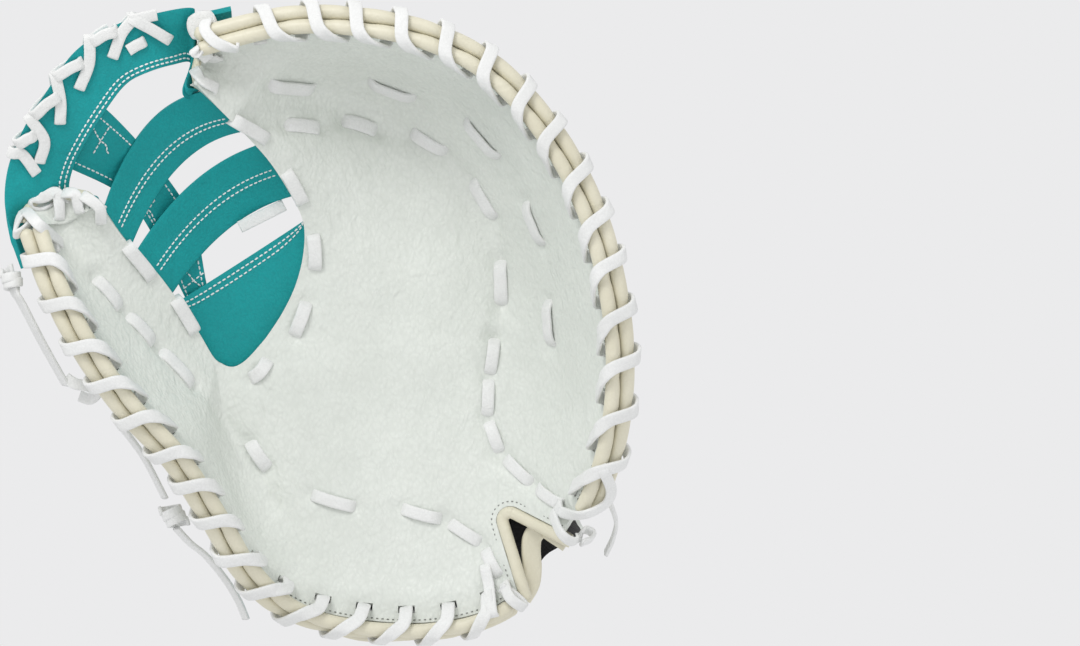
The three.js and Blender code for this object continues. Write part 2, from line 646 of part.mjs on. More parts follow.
function barPoint({ thumb, finger, bow, sag }, w, u, level) {
  const from = outerFace(mix(...thumb, w), 1, seat + level);
  const to = outerFace(mix(...finger, w), 1, seat + level);
  const arch = 4 * u * (1 - u) * rimHeight;
  return from.lerp(to, u).addScaledVector(webAxis, bow * arch).add(new THREE.Vector3(0, 0, -sag * arch));
}

function barGrid(bar, level) {
  return span(0, 1, 3).map((w) => {
    const lap = (s, part) => {
      const share = barLap / Math.max(2 * barLap, sectionAt(s).span);
      return outerFace(s, 1 - part * share, seat + level);
    };
    const thumbS = mix(...bar.thumb, w);
    const fingerS = mix(...bar.finger, w);
    return [
      lap(thumbS, 1), lap(thumbS, 0.5),
      ...span(0, 1, 8).map((u) => barPoint(bar, w, u, level)),
      lap(fingerS, 0.5), lap(fingerS, 1),
    ];
  });
}

// Bow and sag are shares of rimHeight
const upperBar = { thumb: [0.25, 1.2], finger: [21.7, 20.4], bow: 0.1, sag: 0.1 };
const middleBar = { thumb: [1.35, 2.35], finger: [19.7, 17.85], bow: 0.066, sag: 0.1 };
for (const [name, bar] of [['web_bar_upper', upperBar], ['web_bar_middle', middleBar]]) {
  const whole = slab(barGrid(bar, 0), barGrid(bar, webLeather));
  addPiece(name, cut(whole, [backReach]), colours.teal, 0.7);
}

// D-shaped panel in the crotch; its rim laps over the back leather
const panelEnds = [2.5, 17];
const panelRows = palmRows.filter((s) => s >= panelEnds[0] && s <= panelEnds[1]);
const panelDip = 0.083 * rimHeight;

function panelPoint(s, v, level) {
  const along = (s - panelEnds[0]) / (panelEnds[1] - panelEnds[0]);
  const topFrom = outerFace(panelEnds[0], 1, seat + level);
  const topTo = outerFace(panelEnds[1], 1, seat + level);
  const top = topFrom.lerp(topTo, smooth(along));
  top.z -= panelDip * Math.sin(Math.PI * along);
  return outerFace(s, 1, seat + level).lerp(top, v);
}

function panelGrid(level) {
  return panelRows.map((s) => [
    outerFace(s, palmColumns[palmColumns.length - 2], seat + level),
    ...span(0, 1, 3).map((v) => panelPoint(s, v, level)),
  ]);
}
addPiece('web_panel', cut(slab(panelGrid(0), panelGrid(webLeather)), [backReach]), colours.teal, 0.7);

// Band along the top of the web, from thumb tip to fingertip. Its outer and inner edges pass these
// places: X is a share of mittWidth, Y of mittLength and Z of rimHeight.
const topBandRows = [
  { outX: -0.583, outY: 0.208, outZ: 0.77, inX: -0.48, inY: 0.23, inZ: 0.67 },
  { outX: -0.576, outY: 0.27, outZ: 0.81, inX: -0.477, inY: 0.264, inZ: 0.72 },
  { outX: -0.546, outY: 0.336, outZ: 0.85, inX: -0.452, inY: 0.31, inZ: 0.78 },
  { outX: -0.511, outY: 0.388, outZ: 0.87, inX: -0.416, inY: 0.364, inZ: 0.8 },
  { outX: -0.467, outY: 0.447, outZ: 0.88, inX: -0.386, inY: 0.399, inZ: 0.81 },
  { outX: -0.402, outY: 0.488, outZ: 0.88, inX: -0.352, inY: 0.416, inZ: 0.82 },
  { outX: -0.33, outY: 0.508, outZ: 0.86, inX: -0.315, inY: 0.428, inZ: 0.77 },
  { outX: -0.28, outY: 0.515, outZ: 0.83, inX: -0.287, inY: 0.432, inZ: 0.7 },
];
const topLap = { thumb: [0.6, 0.3, 0], finger: [lastSection, lastSection - 0.25, lastSection - 0.5] };
const topLapRise = 0.05 * rimHeight;
const topLapEdges = [0.02, 0.95];
const topLapLevel = seat + webLeather + 3 * clearance;

// Where the band laps a tip: over the back leather at its inner edge, outside the welts at its outer
function topLapPoint(s, w, level) {
  return outerFace(s, mix(...topLapEdges, w), topLapLevel + level + topLapRise * (1 - w) ** 1.5);
}

function topBandRow({ outX, outY, outZ, inX, inY, inZ }, w, level) {
  const point = new THREE.Vector3(mix(outX, inX, w) * mittWidth, mix(outY, inY, w) * mittLength,
    mix(outZ, inZ, w) * rimHeight);
  return point.add(new THREE.Vector3(0, 0, -level));
}

function topBandStops(w, level) {
  return [
    ...topLap.thumb.map((s) => topLapPoint(s, w, level)),
    ...topBandRows.map((row) => topBandRow(row, w, level)),
    ...topLap.finger.map((s) => topLapPoint(s, w, level)),
  ];
}

// A point on the band by the share of its way from the first row to the last
function topBandPoint(w, u, level) {
  const stops = topBandStops(w, level);
  const first = topLap.thumb.length;
  const place = first + u * (topBandRows.length - 1);
  return new THREE.CatmullRomCurve3(stops, false, 'catmullrom', 0.5).getPoint(place / (stops.length - 1));
}

function topBandGrid(level) {
  return span(0, 1, 3).map((w) => topBandStops(w, level));
}
const grown = (grid) => slab(grid(-clearance), grid(webLeather + clearance));
const upperReach = grown((level) => barGrid(upperBar, level));
addPiece('web_top_band', cut(slab(topBandGrid(0), topBandGrid(webLeather)), [backReach, upperReach]),
  colours.teal, 0.7);

// Cross strap that runs down the outside of the web, behind the bars, to the panel
const crossLevel = webLeather + 6 * clearance;
const crossStops = [
  (u) => topBandPoint(0.6, u + 0.03, crossLevel), (u) => topBandPoint(1, u + 0.01, crossLevel),
  (u) => barPoint(upperBar, 0.5, u, crossLevel), (u) => barPoint(middleBar, 0.5, u - 0.05, crossLevel),
  (u) => panelPoint(3.2 + 9 * u, 0.85, crossLevel), (u) => panelPoint(4 + 12 * u, 0.45, crossLevel),
];
const crossMiddle = 0.27;
const upperBarLength = barPoint(upperBar, 0.5, 0, 0).distanceTo(barPoint(upperBar, 0.5, 1, 0));
const crossShare = (0.5 * crossStrapWidth) / upperBarLength;
const crossLines = [-1, 0, 1].map((side) => new THREE.CatmullRomCurve3(
  crossStops.map((stop) => stop(crossMiddle + side * crossShare)),
));
const crossGrid = (drop) => span(0, 1, 12).map((v) => crossLines
  .map((line) => line.getPoint(v).add(new THREE.Vector3(0, 0, -drop))));
const webReach = [
  grown(topBandGrid), upperReach, grown((level) => barGrid(middleBar, level)), grown(panelGrid),
];
const crossSlab = slab(crossGrid(0), crossGrid(webLeather));
addPiece('web_cross_strap', cut(crossSlab, webReach), colours.teal, 0.7);

export default mitt;
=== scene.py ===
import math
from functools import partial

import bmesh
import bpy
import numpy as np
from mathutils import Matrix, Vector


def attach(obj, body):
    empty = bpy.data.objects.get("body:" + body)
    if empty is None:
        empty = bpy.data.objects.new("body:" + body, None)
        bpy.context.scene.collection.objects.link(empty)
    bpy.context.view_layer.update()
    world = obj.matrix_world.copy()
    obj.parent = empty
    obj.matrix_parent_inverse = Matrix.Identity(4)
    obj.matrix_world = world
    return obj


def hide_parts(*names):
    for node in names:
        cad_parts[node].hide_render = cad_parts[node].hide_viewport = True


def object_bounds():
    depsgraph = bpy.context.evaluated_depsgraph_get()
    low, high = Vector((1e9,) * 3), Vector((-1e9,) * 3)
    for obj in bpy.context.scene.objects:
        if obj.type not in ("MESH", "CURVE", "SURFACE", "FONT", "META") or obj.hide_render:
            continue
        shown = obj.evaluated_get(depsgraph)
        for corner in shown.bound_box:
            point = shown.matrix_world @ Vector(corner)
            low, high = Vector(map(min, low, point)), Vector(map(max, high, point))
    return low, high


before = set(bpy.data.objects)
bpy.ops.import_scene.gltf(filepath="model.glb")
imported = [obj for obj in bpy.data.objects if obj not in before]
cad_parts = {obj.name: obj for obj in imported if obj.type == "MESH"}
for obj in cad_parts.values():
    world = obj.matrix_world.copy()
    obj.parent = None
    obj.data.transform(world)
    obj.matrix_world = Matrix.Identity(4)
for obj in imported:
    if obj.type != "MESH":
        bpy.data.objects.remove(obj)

# %% [markdown]
# # A first baseman mitt
# The mitt lies on its back with the pocket up, as it does on a shelf. The CAD model gives every
# leather part its size and place. This lesson dresses those parts: it builds each one again as a
# fine surface, worked out with numpy from the same few sizes, and gives it leather, lace or thread.
# The CAD solids stay behind the scenes for collision.

cad_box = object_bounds()
print("CAD box in mm:", [[round(1000 * c, 1) for c in corner] for corner in cad_box])

# %% [markdown]
# ## Sizes
# A mitt is cut from flat leather and laced into shape, so few sizes drive it: the width and length
# as it lies open, the height of its rim and of the pocket's floor, the leather, the padding and the
# lace. They are the CAD source's own sizes, in metres.

# %% Driving sizes
mm = 0.001
mitt_width, mitt_length, rim_height, floor_height = 300 * mm, 310 * mm, 121 * mm, 42 * mm
leather, palm_padding, clearance = 2.5 * mm, 6.5 * mm, 0.3 * mm
hand_room, wrist_room = 33.5 * mm, 12 * mm
wall_run, lip_run, pad_run = 52 * mm, 60 * mm, 26 * mm
wall_power = 1.7
room_rise, room_fall, open_run = 60 * mm, 30 * mm, 32 * mm
tip_room, thumb_tip_run, finger_tip_run = 0.42, 4, 6
welt_radius, binding_radius = 3.5 * mm, 2.8 * mm
lace_width, lace_thickness, lace_inset, hole_slack = 6.5 * mm, 2 * mm, 8 * mm, 1.6 * mm
lace_turns = 15
web_leather, bar_lap, cross_strap_width = 2.5 * mm, 14 * mm, 20 * mm
strap_width, strap_length, band_height = 33 * mm, 80 * mm, 52 * mm
window_width, window_height = 92 * mm, 38 * mm
fastener_thickness, badge_thickness = 1.2 * mm, 1 * mm

band_level = clearance
fastener_level = band_level + leather + clearance
strap_level = fastener_level + fastener_thickness + clearance
badge_level = strap_level + leather + clearance
wrist_lift = badge_level + badge_thickness

# %% [markdown]
# ## Camera and light
# The photograph looks straight down into the pocket through a long lens. A long lens keeps the rim
# and the floor at nearly one scale. The camera is set from the photograph's scale in millimetres to
# the pixel, so that a place in the photograph can also be turned into a place on the leather.

# %% The photograph's camera
photo_width = 1080
photo_height = 646
photo_scale = 0.487 * mm
picture_level = 60 * mm
camera_distance = 3.0
photo_middle = np.array([82.8, 8.3]) * mm
sensor_width = 36

camera_data = bpy.data.cameras.new("photo_camera")
camera_data.sensor_fit = "HORIZONTAL"
camera_data.sensor_width = sensor_width
camera_data.lens = sensor_width * camera_distance / (photo_width * photo_scale)
camera_data.clip_end = 20
camera = bpy.data.objects.new("photo_camera", camera_data)
camera.location = (*photo_middle, picture_level + camera_distance)
bpy.context.scene.collection.objects.link(camera)
bpy.context.scene.camera = camera
print("lens in mm:", round(camera_data.lens, 1))


def scale_at(height):
    """Metres to the pixel at a height over the ground."""
    return photo_scale * (1 - (height - picture_level) / camera_distance)


def photo_pixels(points):
    """Pixels of points in space: their place from the middle, over the scale at their height."""
    scale = scale_at(points[..., 2])
    across = photo_width / 2 + (points[..., 0] - photo_middle[0]) / scale
    down = photo_height / 2 - (points[..., 1] - photo_middle[1]) / scale
    return np.stack([across, down], -1)


# %% [markdown]
# Light in a product photograph is soft and comes from all round, on an even pale ground. The pale
# world is both, and two panels over the mitt give the folds and the pocket their soft shadows.

# %% World and lights
def srgb(red, green, blue):
    """A colour read as 0 to 255 screen values, as the linear values that the shaders use."""
    screen = np.array([red, green, blue]) / 255
    linear = np.where(screen <= 0.04045, screen / 12.92, ((screen + 0.055) / 1.055) ** 2.4)
    return (*linear.tolist(), 1.0)


def add_light(name, place, size, power, tint):
    """A square panel that faces the mitt."""
    panel = bpy.data.lights.new(name, "AREA")
    panel.size = size
    panel.energy = power
    panel.color = tint
    lamp = bpy.data.objects.new(name, panel)
    lamp.location = place
    lamp.rotation_mode = "QUATERNION"
    lamp.rotation_quaternion = Vector(place).to_track_quat("Z", "Y")
    bpy.context.scene.collection.objects.link(lamp)


scene = bpy.context.scene
scene.view_settings.view_transform = "Standard"
scene.view_settings.look = "None"
world = bpy.data.worlds.new("studio")
scene.world = world
world.use_nodes = True
pale_ground = srgb(235, 235, 236)
world.node_tree.nodes["Background"].inputs["Color"].default_value = pale_ground
world.node_tree.nodes["Background"].inputs["Strength"].default_value = 1.0
add_light("key_panel", (-0.55, 1.0, 1.05), 0.5, 8, (1.0, 0.99, 0.98))
add_light("fill_panel", (1.1, -0.7, 1.3), 1.1, 1.5, (0.98, 0.99, 1.0))

# %% [markdown]
# ## Meshes from numpy
# Every surface here is a grid of points from a formula. Three helpers turn grids into meshes: a
# closed wall between two grids, a profile carried along a path, and one that writes the arrays.

# %% Mesh helpers
up_way = np.array([0, 0, 1.0])
down = -up_way
speck = 0.001 * mm


def grid_of(first, second):
    """Two runs of values as the rows and columns of a grid."""
    return np.meshgrid(first, second, indexing="ij")


def put_mesh(name, points, face_sets, materials, slots=None):
    """A mesh from an array of points and arrays of corner numbers, one array for each face size."""
    corners = np.concatenate([faces.ravel() for faces in face_sets])
    counts = np.concatenate([np.full(len(faces), faces.shape[1]) for faces in face_sets])
    mesh = bpy.data.meshes.new(name)
    mesh.vertices.add(len(points))
    mesh.vertices.foreach_set("co", np.asarray(points, np.float32).ravel())
    mesh.loops.add(len(corners))
    mesh.loops.foreach_set("vertex_index", corners.astype(np.int32))
    mesh.polygons.add(len(counts))
    mesh.polygons.foreach_set("loop_start", np.concatenate([[0], np.cumsum(counts)[:-1]]).astype(np.int32))
    for material in materials:
        mesh.materials.append(material)
    if slots is not None:
        mesh.polygons.foreach_set("material_index", slots.astype(np.int32))
    mesh.update(calc_edges=True)
    mesh.validate()
    mesh.shade_smooth()
    return mesh


def cells(rows, columns, start=0, closed=False):
    """Corner numbers of a grid's cells; closed joins the last column to the first."""
    i, j = grid_of(np.arange(rows - 1), np.arange(columns - (not closed)))
    k = (j + 1) % columns
    a, b = i * columns, (i + 1) * columns
    return start + np.stack([a + j, b + j, b + k, a + k], -1).reshape(-1, 4)


def slab_arrays(inner, outer):
    """Points and cells of a closed wall: the inner grid, the outer grid turned over, and a border,
    all turned round where they would face inwards."""
    rows, columns = inner.shape[:2]
    count = rows * columns
    up, across = np.arange(rows), np.arange(columns)
    ring = np.concatenate([
        up * columns, (rows - 1) * columns + across[1:],
        up[::-1][1:] * columns + columns - 1, across[::-1][1:-1],
    ])
    after = np.roll(ring, -1)
    border = np.stack([ring, ring + count, after + count, after], -1)
    faces = [cells(rows, columns), cells(rows, columns, count)[:, ::-1], border]
    points = np.concatenate([inner.reshape(-1, 3), outer.reshape(-1, 3)])
    a, b, c, d = points[np.concatenate(faces)].transpose(1, 0, 2)
    six_volumes = (a * (np.cross(b, c) + np.cross(c, d))).sum()
    return points, faces if six_volumes > 0 else [f[:, ::-1] for f in faces]


def slab(name, inner, outer, material, lining=None, lined=1):
    """A closed wall between two grids of points; a lining covers the grid numbered lined."""
    points, faces = slab_arrays(inner, outer)
    slots = np.concatenate([np.full(len(f), lining is not None and i == lined) for i, f in enumerate(faces)])
    return put_mesh(name, points, faces, [material] + [lining] * (lining is not None), slots)


def unit(vectors):
    """The same directions at length one."""
    return vectors / np.maximum(np.linalg.norm(vectors, axis=-1, keepdims=True), 1e-12)


def carry(path, hints, profile, closed=False):
    """Points of a profile carried along a path: each (side, up) pair of the profile is laid off
    along the hint, made square to the path, and along the path crossed with it."""
    ahead = unit(np.roll(path, -1, 0) - np.roll(path, 1, 0) if closed else np.gradient(path, axis=0))
    hints = np.broadcast_to(hints, path.shape)
    side = unit(hints - (hints * ahead).sum(-1, keepdims=True) * ahead)
    up = np.cross(ahead, side)
    profile = np.broadcast_to(profile, (len(path), *profile.shape[-2:]))
    return path[:, None] + profile[..., :1] * side[:, None] + profile[..., 1:] * up[:, None]


def end_fans(rows, columns):
    """Triangles that close a tube: each end's ring round its own point, after the grid's points."""
    j = np.arange(columns)
    k = (j + 1) % columns
    last = (rows - 1) * columns
    return [np.stack([k, j, np.full(columns, rows * columns)], -1),
            np.stack([last + j, last + k, np.full(columns, rows * columns + 1)], -1)]


def tube_arrays(path, hints, profile, closed=False):
    """Points and faces of a carried profile, its ends closed by fans of triangles."""
    rings = carry(path, hints, profile, closed)
    rows, columns = rings.shape[:2]
    if closed:
        rings = np.concatenate([rings, rings[:1]])
        faces = cells(rows + 1, columns, closed=True)[:, ::-1]
        faces = np.where(faces >= rows * columns, faces - rows * columns, faces)
        return rings[:rows].reshape(-1, 3), [faces]
    points = np.concatenate([rings.reshape(-1, 3), rings[0].mean(0)[None], rings[-1].mean(0)[None]])
    return points, [cells(rows, columns, closed=True)[:, ::-1], *end_fans(rows, columns)]


def join(parts):
    """Several (points, faces) as one, with the corner numbers moved on."""
    points, quads, fans, start = [], [], [], 0
    for part, faces in parts:
        points.append(part)
        quads += [f + start for f in faces if f.shape[1] == 4]
        fans += [f + start for f in faces if f.shape[1] == 3]
        start += len(part)
    sets = [np.concatenate(quads)] + ([np.concatenate(fans)] if fans else [])
    return np.concatenate(points), sets


def circle(radius, sides):
    """A round profile, as (side, up) pairs."""
    angle = np.linspace(0, 2 * np.pi, sides, endpoint=False)
    return np.stack([np.cos(angle), np.sin(angle)], -1) * np.asarray(radius)[..., None, None]


def flat_section(width, thickness, sides=12, power=0.45):
    """A lace's section: a superellipse, nearly a rectangle with soft corners."""
    angle = np.linspace(0, 2 * np.pi, sides, endpoint=False) + np.pi / sides
    corner = np.stack([np.cos(angle), np.sin(angle)], -1)
    return np.sign(corner) * np.abs(corner) ** power * np.array([width / 2, thickness / 2])


def bend(a, b, c, d, u):
    """A Catmull-Rom curve from b to c at the share u, with a before it and d after it."""
    turn = (2 * a - 5 * b + 4 * c - d) * u**2 + (3 * b - a - 3 * c + d) * u**3
    return b + 0.5 * ((c - a) * u + turn)


def through(knots, steps):
    """A Catmull-Rom curve through the knots, with that many points to each stretch."""
    knots = np.asarray(knots, float)
    padded = np.concatenate([knots[:1], knots, knots[-1:]])
    stretches = [k[:, None] for k in (padded[:-3], padded[1:-2], padded[2:-1], padded[3:])]
    curve = bend(*stretches, np.arange(steps)[None, :, None] / steps)
    return np.concatenate([curve.reshape(-1, knots.shape[-1]), knots[-1:]])


def ribbon(knots, normals, width, thickness, steps=6):
    """A flat lace through knots, its flat side square to the normals."""
    path, normal = through(knots, steps), unit(through(normals, steps))
    ahead = unit(np.gradient(path, axis=0))
    return tube_arrays(path, np.cross(ahead, normal), flat_section(width, thickness))


def add_piece(name, mesh, slot_name, *nodes):
    """Links the piece, lets it ride with the mitt, and hides the CAD parts that it stands for. Its
    slot name is not used.
    """
    piece = bpy.data.objects.new(name, mesh)
    scene.collection.objects.link(piece)
    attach(piece, "root")
    if nodes:
        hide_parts(*nodes)
    print(f"{name}: {len(mesh.polygons)} faces")
    return piece


def lay(name, parts, finish, slot_name, *nodes):
    """A piece of one or more (points, faces)."""
    return add_piece(name, put_mesh(name, *join(parts), [finish]), slot_name, *nodes)


def sheet(name, inner, outer, finish, slot_name, *nodes, lining=None, lined=1):
    """A piece that is a closed wall between two grids."""
    return add_piece(name, slab(name, inner, outer, finish, lining, lined), slot_name, *nodes)


def settle(piece, keep_sharp=40):
    """Applies the piece's modifiers to its mesh, melts faces too small to see and keeps edges above
    that angle crisp."""
    depsgraph = bpy.context.evaluated_depsgraph_get()
    mesh = bpy.data.meshes.new_from_object(piece.evaluated_get(depsgraph))
    piece.modifiers.clear()
    piece.data = mesh
    shape = bmesh.new()
    shape.from_mesh(mesh)
    bmesh.ops.dissolve_degenerate(shape, dist=speck, edges=shape.edges[:])
    shape.to_mesh(mesh)
    shape.free()
    mesh.shade_smooth()
    mesh.set_sharp_from_angle(angle=math.radians(keep_sharp))


def soften(piece):
    """Rounds the cut edge of the leather."""
    bevel = piece.modifiers.new("cut_edge", "BEVEL")
    bevel.width = 0.8 * mm
    bevel.segments = 2
    bevel.limit_method = "ANGLE"
    bevel.angle_limit = math.radians(55)
    settle(piece)


def cut(piece, mesh, operation="DIFFERENCE"):
    """Cuts a closed mesh out of a piece, or keeps only what lies inside it."""
    tool = bpy.data.objects.new("cutter", mesh)
    scene.collection.objects.link(tool)
    knife = piece.modifiers.new("cut", "BOOLEAN")
    knife.operation = operation
    knife.solver = "EXACT"
    knife.object = tool
    settle(piece)
    bpy.data.objects.remove(tool)


def stand_up(outline, low=-80 * mm, high=220 * mm):
    """A plan outline, as (x, y) rows, stood up into a closed prism; its caps are whole polygons."""
    outline = np.asarray(outline, float)
    area = np.sum(outline[:, 0] * np.roll(outline[:, 1], -1) - np.roll(outline[:, 0], -1) * outline[:, 1])
    ring = outline if area > 0 else outline[::-1]
    count = len(ring)
    points = np.concatenate([np.c_[ring, np.full(count, low)], np.c_[ring, np.full(count, high)]])
    j = np.arange(count)
    k = (j + 1) % count
    sides = np.stack([j, k, k + count, j + count], -1)
    mesh = bpy.data.meshes.new("prism")
    mesh.from_pydata(points.tolist(), [], sides.tolist() + [j[::-1].tolist(), (j + count).tolist()])
    return mesh


def trim(piece, outline, operation="DIFFERENCE"):
    """Cuts a plan outline out of a piece, or keeps only what lies inside it."""
    cut(piece, stand_up(outline), operation)


def carve(piece, parts):
    """Cuts closed shapes, given as points and faces, out of a piece."""
    cut(piece, put_mesh("cutter", *join(parts), []))


# %% [markdown]
# ## Finishes
# The mitt has ten finishes: white tumbled leather with a pebbled grain, smooth cream leather on the
# rolled edges, flat white lace, teal nubuck, white suede, a taupe patch, black hook-and-loop, a dark
# lining and two threads. Each is the same small network: broad noise for the tone, cells for the
# grain and for a painted shade in its valleys, and fine noise for the pores, with bump for all
# three. They read Object coordinates, so the grain has one size on every piece.

# %% Material helpers
def blank(name, roughness, specular=0.5):
    """A new material with its Principled shader, whose plain values sit on its own sockets."""
    material = bpy.data.materials.new(name)
    material.use_nodes = True
    tree = material.node_tree
    shader = tree.nodes["Principled BSDF"]
    shader.inputs["Roughness"].default_value = roughness
    shader.inputs["Specular IOR Level"].default_value = specular
    return material, tree, shader


def node(tree, kind, settings=None, **inputs):
    """A node with its settings and the values of its inputs; an underscore stands for a space."""
    made = tree.nodes.new("ShaderNode" + kind)
    for key, value in (settings or {}).items():
        setattr(made, key, value)
    for key, value in inputs.items():
        made.inputs[key.replace("_", " ")].default_value = value
    return made


def mapped(tree, value, low, high, to_low, to_high):
    """The value moved from one range to another."""
    ranger = node(tree, "MapRange", None, From_Min=low, From_Max=high, To_Min=to_low, To_Max=to_high)
    tree.links.new(value, ranger.inputs["Value"])
    return ranger.outputs["Result"]


def tone(tree, share, dark, light):
    """A colour between two, by a share from 0 to 1."""
    blend = node(tree, "Mix", {"data_type": "RGBA"})
    blend.inputs[6].default_value = dark
    blend.inputs[7].default_value = light
    tree.links.new(share, blend.inputs[0])
    return blend.outputs[2]


def bumps(tree, layers):
    """Bump nodes in a chain, one for each (height, depth in metres, inverted)."""
    normal = None
    for height, depth, inverted in layers:
        bump = node(tree, "Bump", {"invert": inverted}, Strength=1.0, Distance=depth)
        tree.links.new(height, bump.inputs["Height"])
        if normal is not None:
            tree.links.new(normal, bump.inputs["Normal"])
        normal = bump.outputs["Normal"]
    return normal


def hide(name, light, dark, pebble, depth, roughness, crease=0.5 * mm, painted_shade=0.35, sheen=0.0,
         stretch=1.0):
    """Leather: pebbles are the distance to the nearest of scattered cells, creases are twisted
    noise, pores are fine noise; the valleys between pebbles take a little of the darker tone, as
    painted shade. A stretch below 1 pulls pebbles and creases out along one direction, as over a
    folded padding."""
    material, tree, shader = blank(name, roughness)
    place = node(tree, "TexCoord").outputs["Object"]
    turned = node(tree, "Mapping", None, Rotation=(0, 0, math.radians(35)), Scale=(1, stretch, 1))
    tree.links.new(place, turned.inputs["Vector"])
    place, drawn = turned.outputs["Vector"], place
    broad = node(tree, "TexNoise", None, Scale=16, Detail=4, Roughness=0.6)
    creases = node(tree, "TexNoise", None, Scale=120, Detail=2, Roughness=0.4, Distortion=1.2)
    pores = node(tree, "TexNoise", None, Scale=1.6 / pebble, Detail=1, Roughness=0.5)
    grain = node(tree, "TexVoronoi", {"feature": "SMOOTH_F1"}, Scale=1 / pebble, Randomness=0.9,
                 Smoothness=0.35)
    swirl = node(tree, "TexNoise", None, Scale=0.3 / pebble, Detail=1)
    tree.links.new(drawn, broad.inputs["Vector"])
    for texture in (creases, pores, swirl):
        tree.links.new(place, texture.inputs["Vector"])
    push = node(tree, "Mix", {"data_type": "VECTOR"})
    push.inputs[0].default_value = 0.0035
    tree.links.new(place, push.inputs[4])
    tree.links.new(swirl.outputs["Color"], push.inputs[5])
    tree.links.new(push.outputs[1], grain.inputs["Vector"])
    # Painted shade: the valleys between pebbles are darkened towards the dark tone.
    shade_in_valleys = mapped(tree, grain.outputs["Distance"], 0.25, 0.75, 1, 1 - painted_shade)
    cloud = mapped(tree, broad.outputs["Fac"], 0.35, 0.68, 0.55, 1)
    share = node(tree, "Math", {"operation": "MULTIPLY"})
    tree.links.new(shade_in_valleys, share.inputs[0])
    tree.links.new(cloud, share.inputs[1])
    tree.links.new(tone(tree, share.outputs[0], dark, light), shader.inputs["Base Color"])
    tree.links.new(
        mapped(tree, pores.outputs["Fac"], 0.3, 0.7, roughness - 0.06, roughness + 0.06),
        shader.inputs["Roughness"])
    tree.links.new(bumps(tree, [
        (creases.outputs["Fac"], crease, False), (grain.outputs["Distance"], depth, True),
        (pores.outputs["Fac"], 0.2 * depth, False),
    ]), shader.inputs["Normal"])
    shader.inputs["Sheen Weight"].default_value = sheen
    shader.inputs["Sheen Roughness"].default_value = 0.5
    return material


# %% The mitt's finishes
# Each finish darkens the valleys of its grain a little towards its dark tone, as painted shade.
white_hide = hide("white_tumbled_leather", srgb(229, 233, 227), srgb(205, 210, 203),
                  pebble=1.8 * mm, depth=0.3 * mm, roughness=0.42, crease=0.8 * mm, painted_shade=0.3,
                  stretch=0.68)
cream_hide = hide("cream_welt_leather", srgb(226, 222, 202), srgb(203, 197, 172),
                  pebble=1.3 * mm, depth=0.06 * mm, roughness=0.42, crease=0.5 * mm, painted_shade=0.15)
lace_hide = hide("white_lace_leather", srgb(236, 237, 236), srgb(214, 215, 213),
                 pebble=1.1 * mm, depth=0.12 * mm, roughness=0.55, crease=0.5 * mm, painted_shade=0.3)
teal_hide = hide("teal_nubuck", srgb(0, 160, 162), srgb(0, 128, 131),
                 pebble=1.1 * mm, depth=0.16 * mm, roughness=0.8, crease=0.6 * mm, painted_shade=0.35)
suede_hide = hide("white_suede", srgb(240, 241, 240), srgb(214, 214, 210),
                  pebble=0.7 * mm, depth=0.25 * mm, roughness=0.9, crease=0.6 * mm, sheen=0.4)
taupe_hide = hide("taupe_patch", srgb(200, 191, 182), srgb(180, 170, 160),
                  pebble=0.7 * mm, depth=0.05 * mm, roughness=0.7, crease=0.1 * mm, painted_shade=0.25)
black_pile = hide("black_pile", srgb(34, 34, 37), srgb(12, 12, 14),
                  pebble=0.9 * mm, depth=0.8 * mm, roughness=0.95, crease=0.8 * mm, painted_shade=0.9, sheen=0.25)
black_lining = hide("black_lining", srgb(30, 31, 34), srgb(14, 14, 16),
                    pebble=1.2 * mm, depth=0.25 * mm, roughness=0.8, crease=1.2 * mm, painted_shade=0.4, sheen=0.1)
white_thread = hide("white_thread", srgb(244, 246, 246), srgb(222, 226, 226),
                    pebble=0.5 * mm, depth=0.06 * mm, roughness=0.55, crease=0.05 * mm, painted_shade=0.2)
shaded_thread = hide("thread_in_shade", srgb(150, 153, 148), srgb(104, 107, 102),
                     pebble=0.5 * mm, depth=0.05 * mm, roughness=0.7, crease=0.05 * mm, painted_shade=0.4)
print("finishes:", len(bpy.data.materials))

# %% [markdown]
# ## The leather's form
# A mitt's leather is one long strip bent round the hand. A table of sections runs from the thumb tip
# round the heel to the fingertips, and a smooth curve through its rows gives a rim and an inner edge
# at any place. Two numbers then name a point on the leather: s along the rim and t across it. The
# table and the formulas are the CAD source's own, so every new surface lies where its solid does.

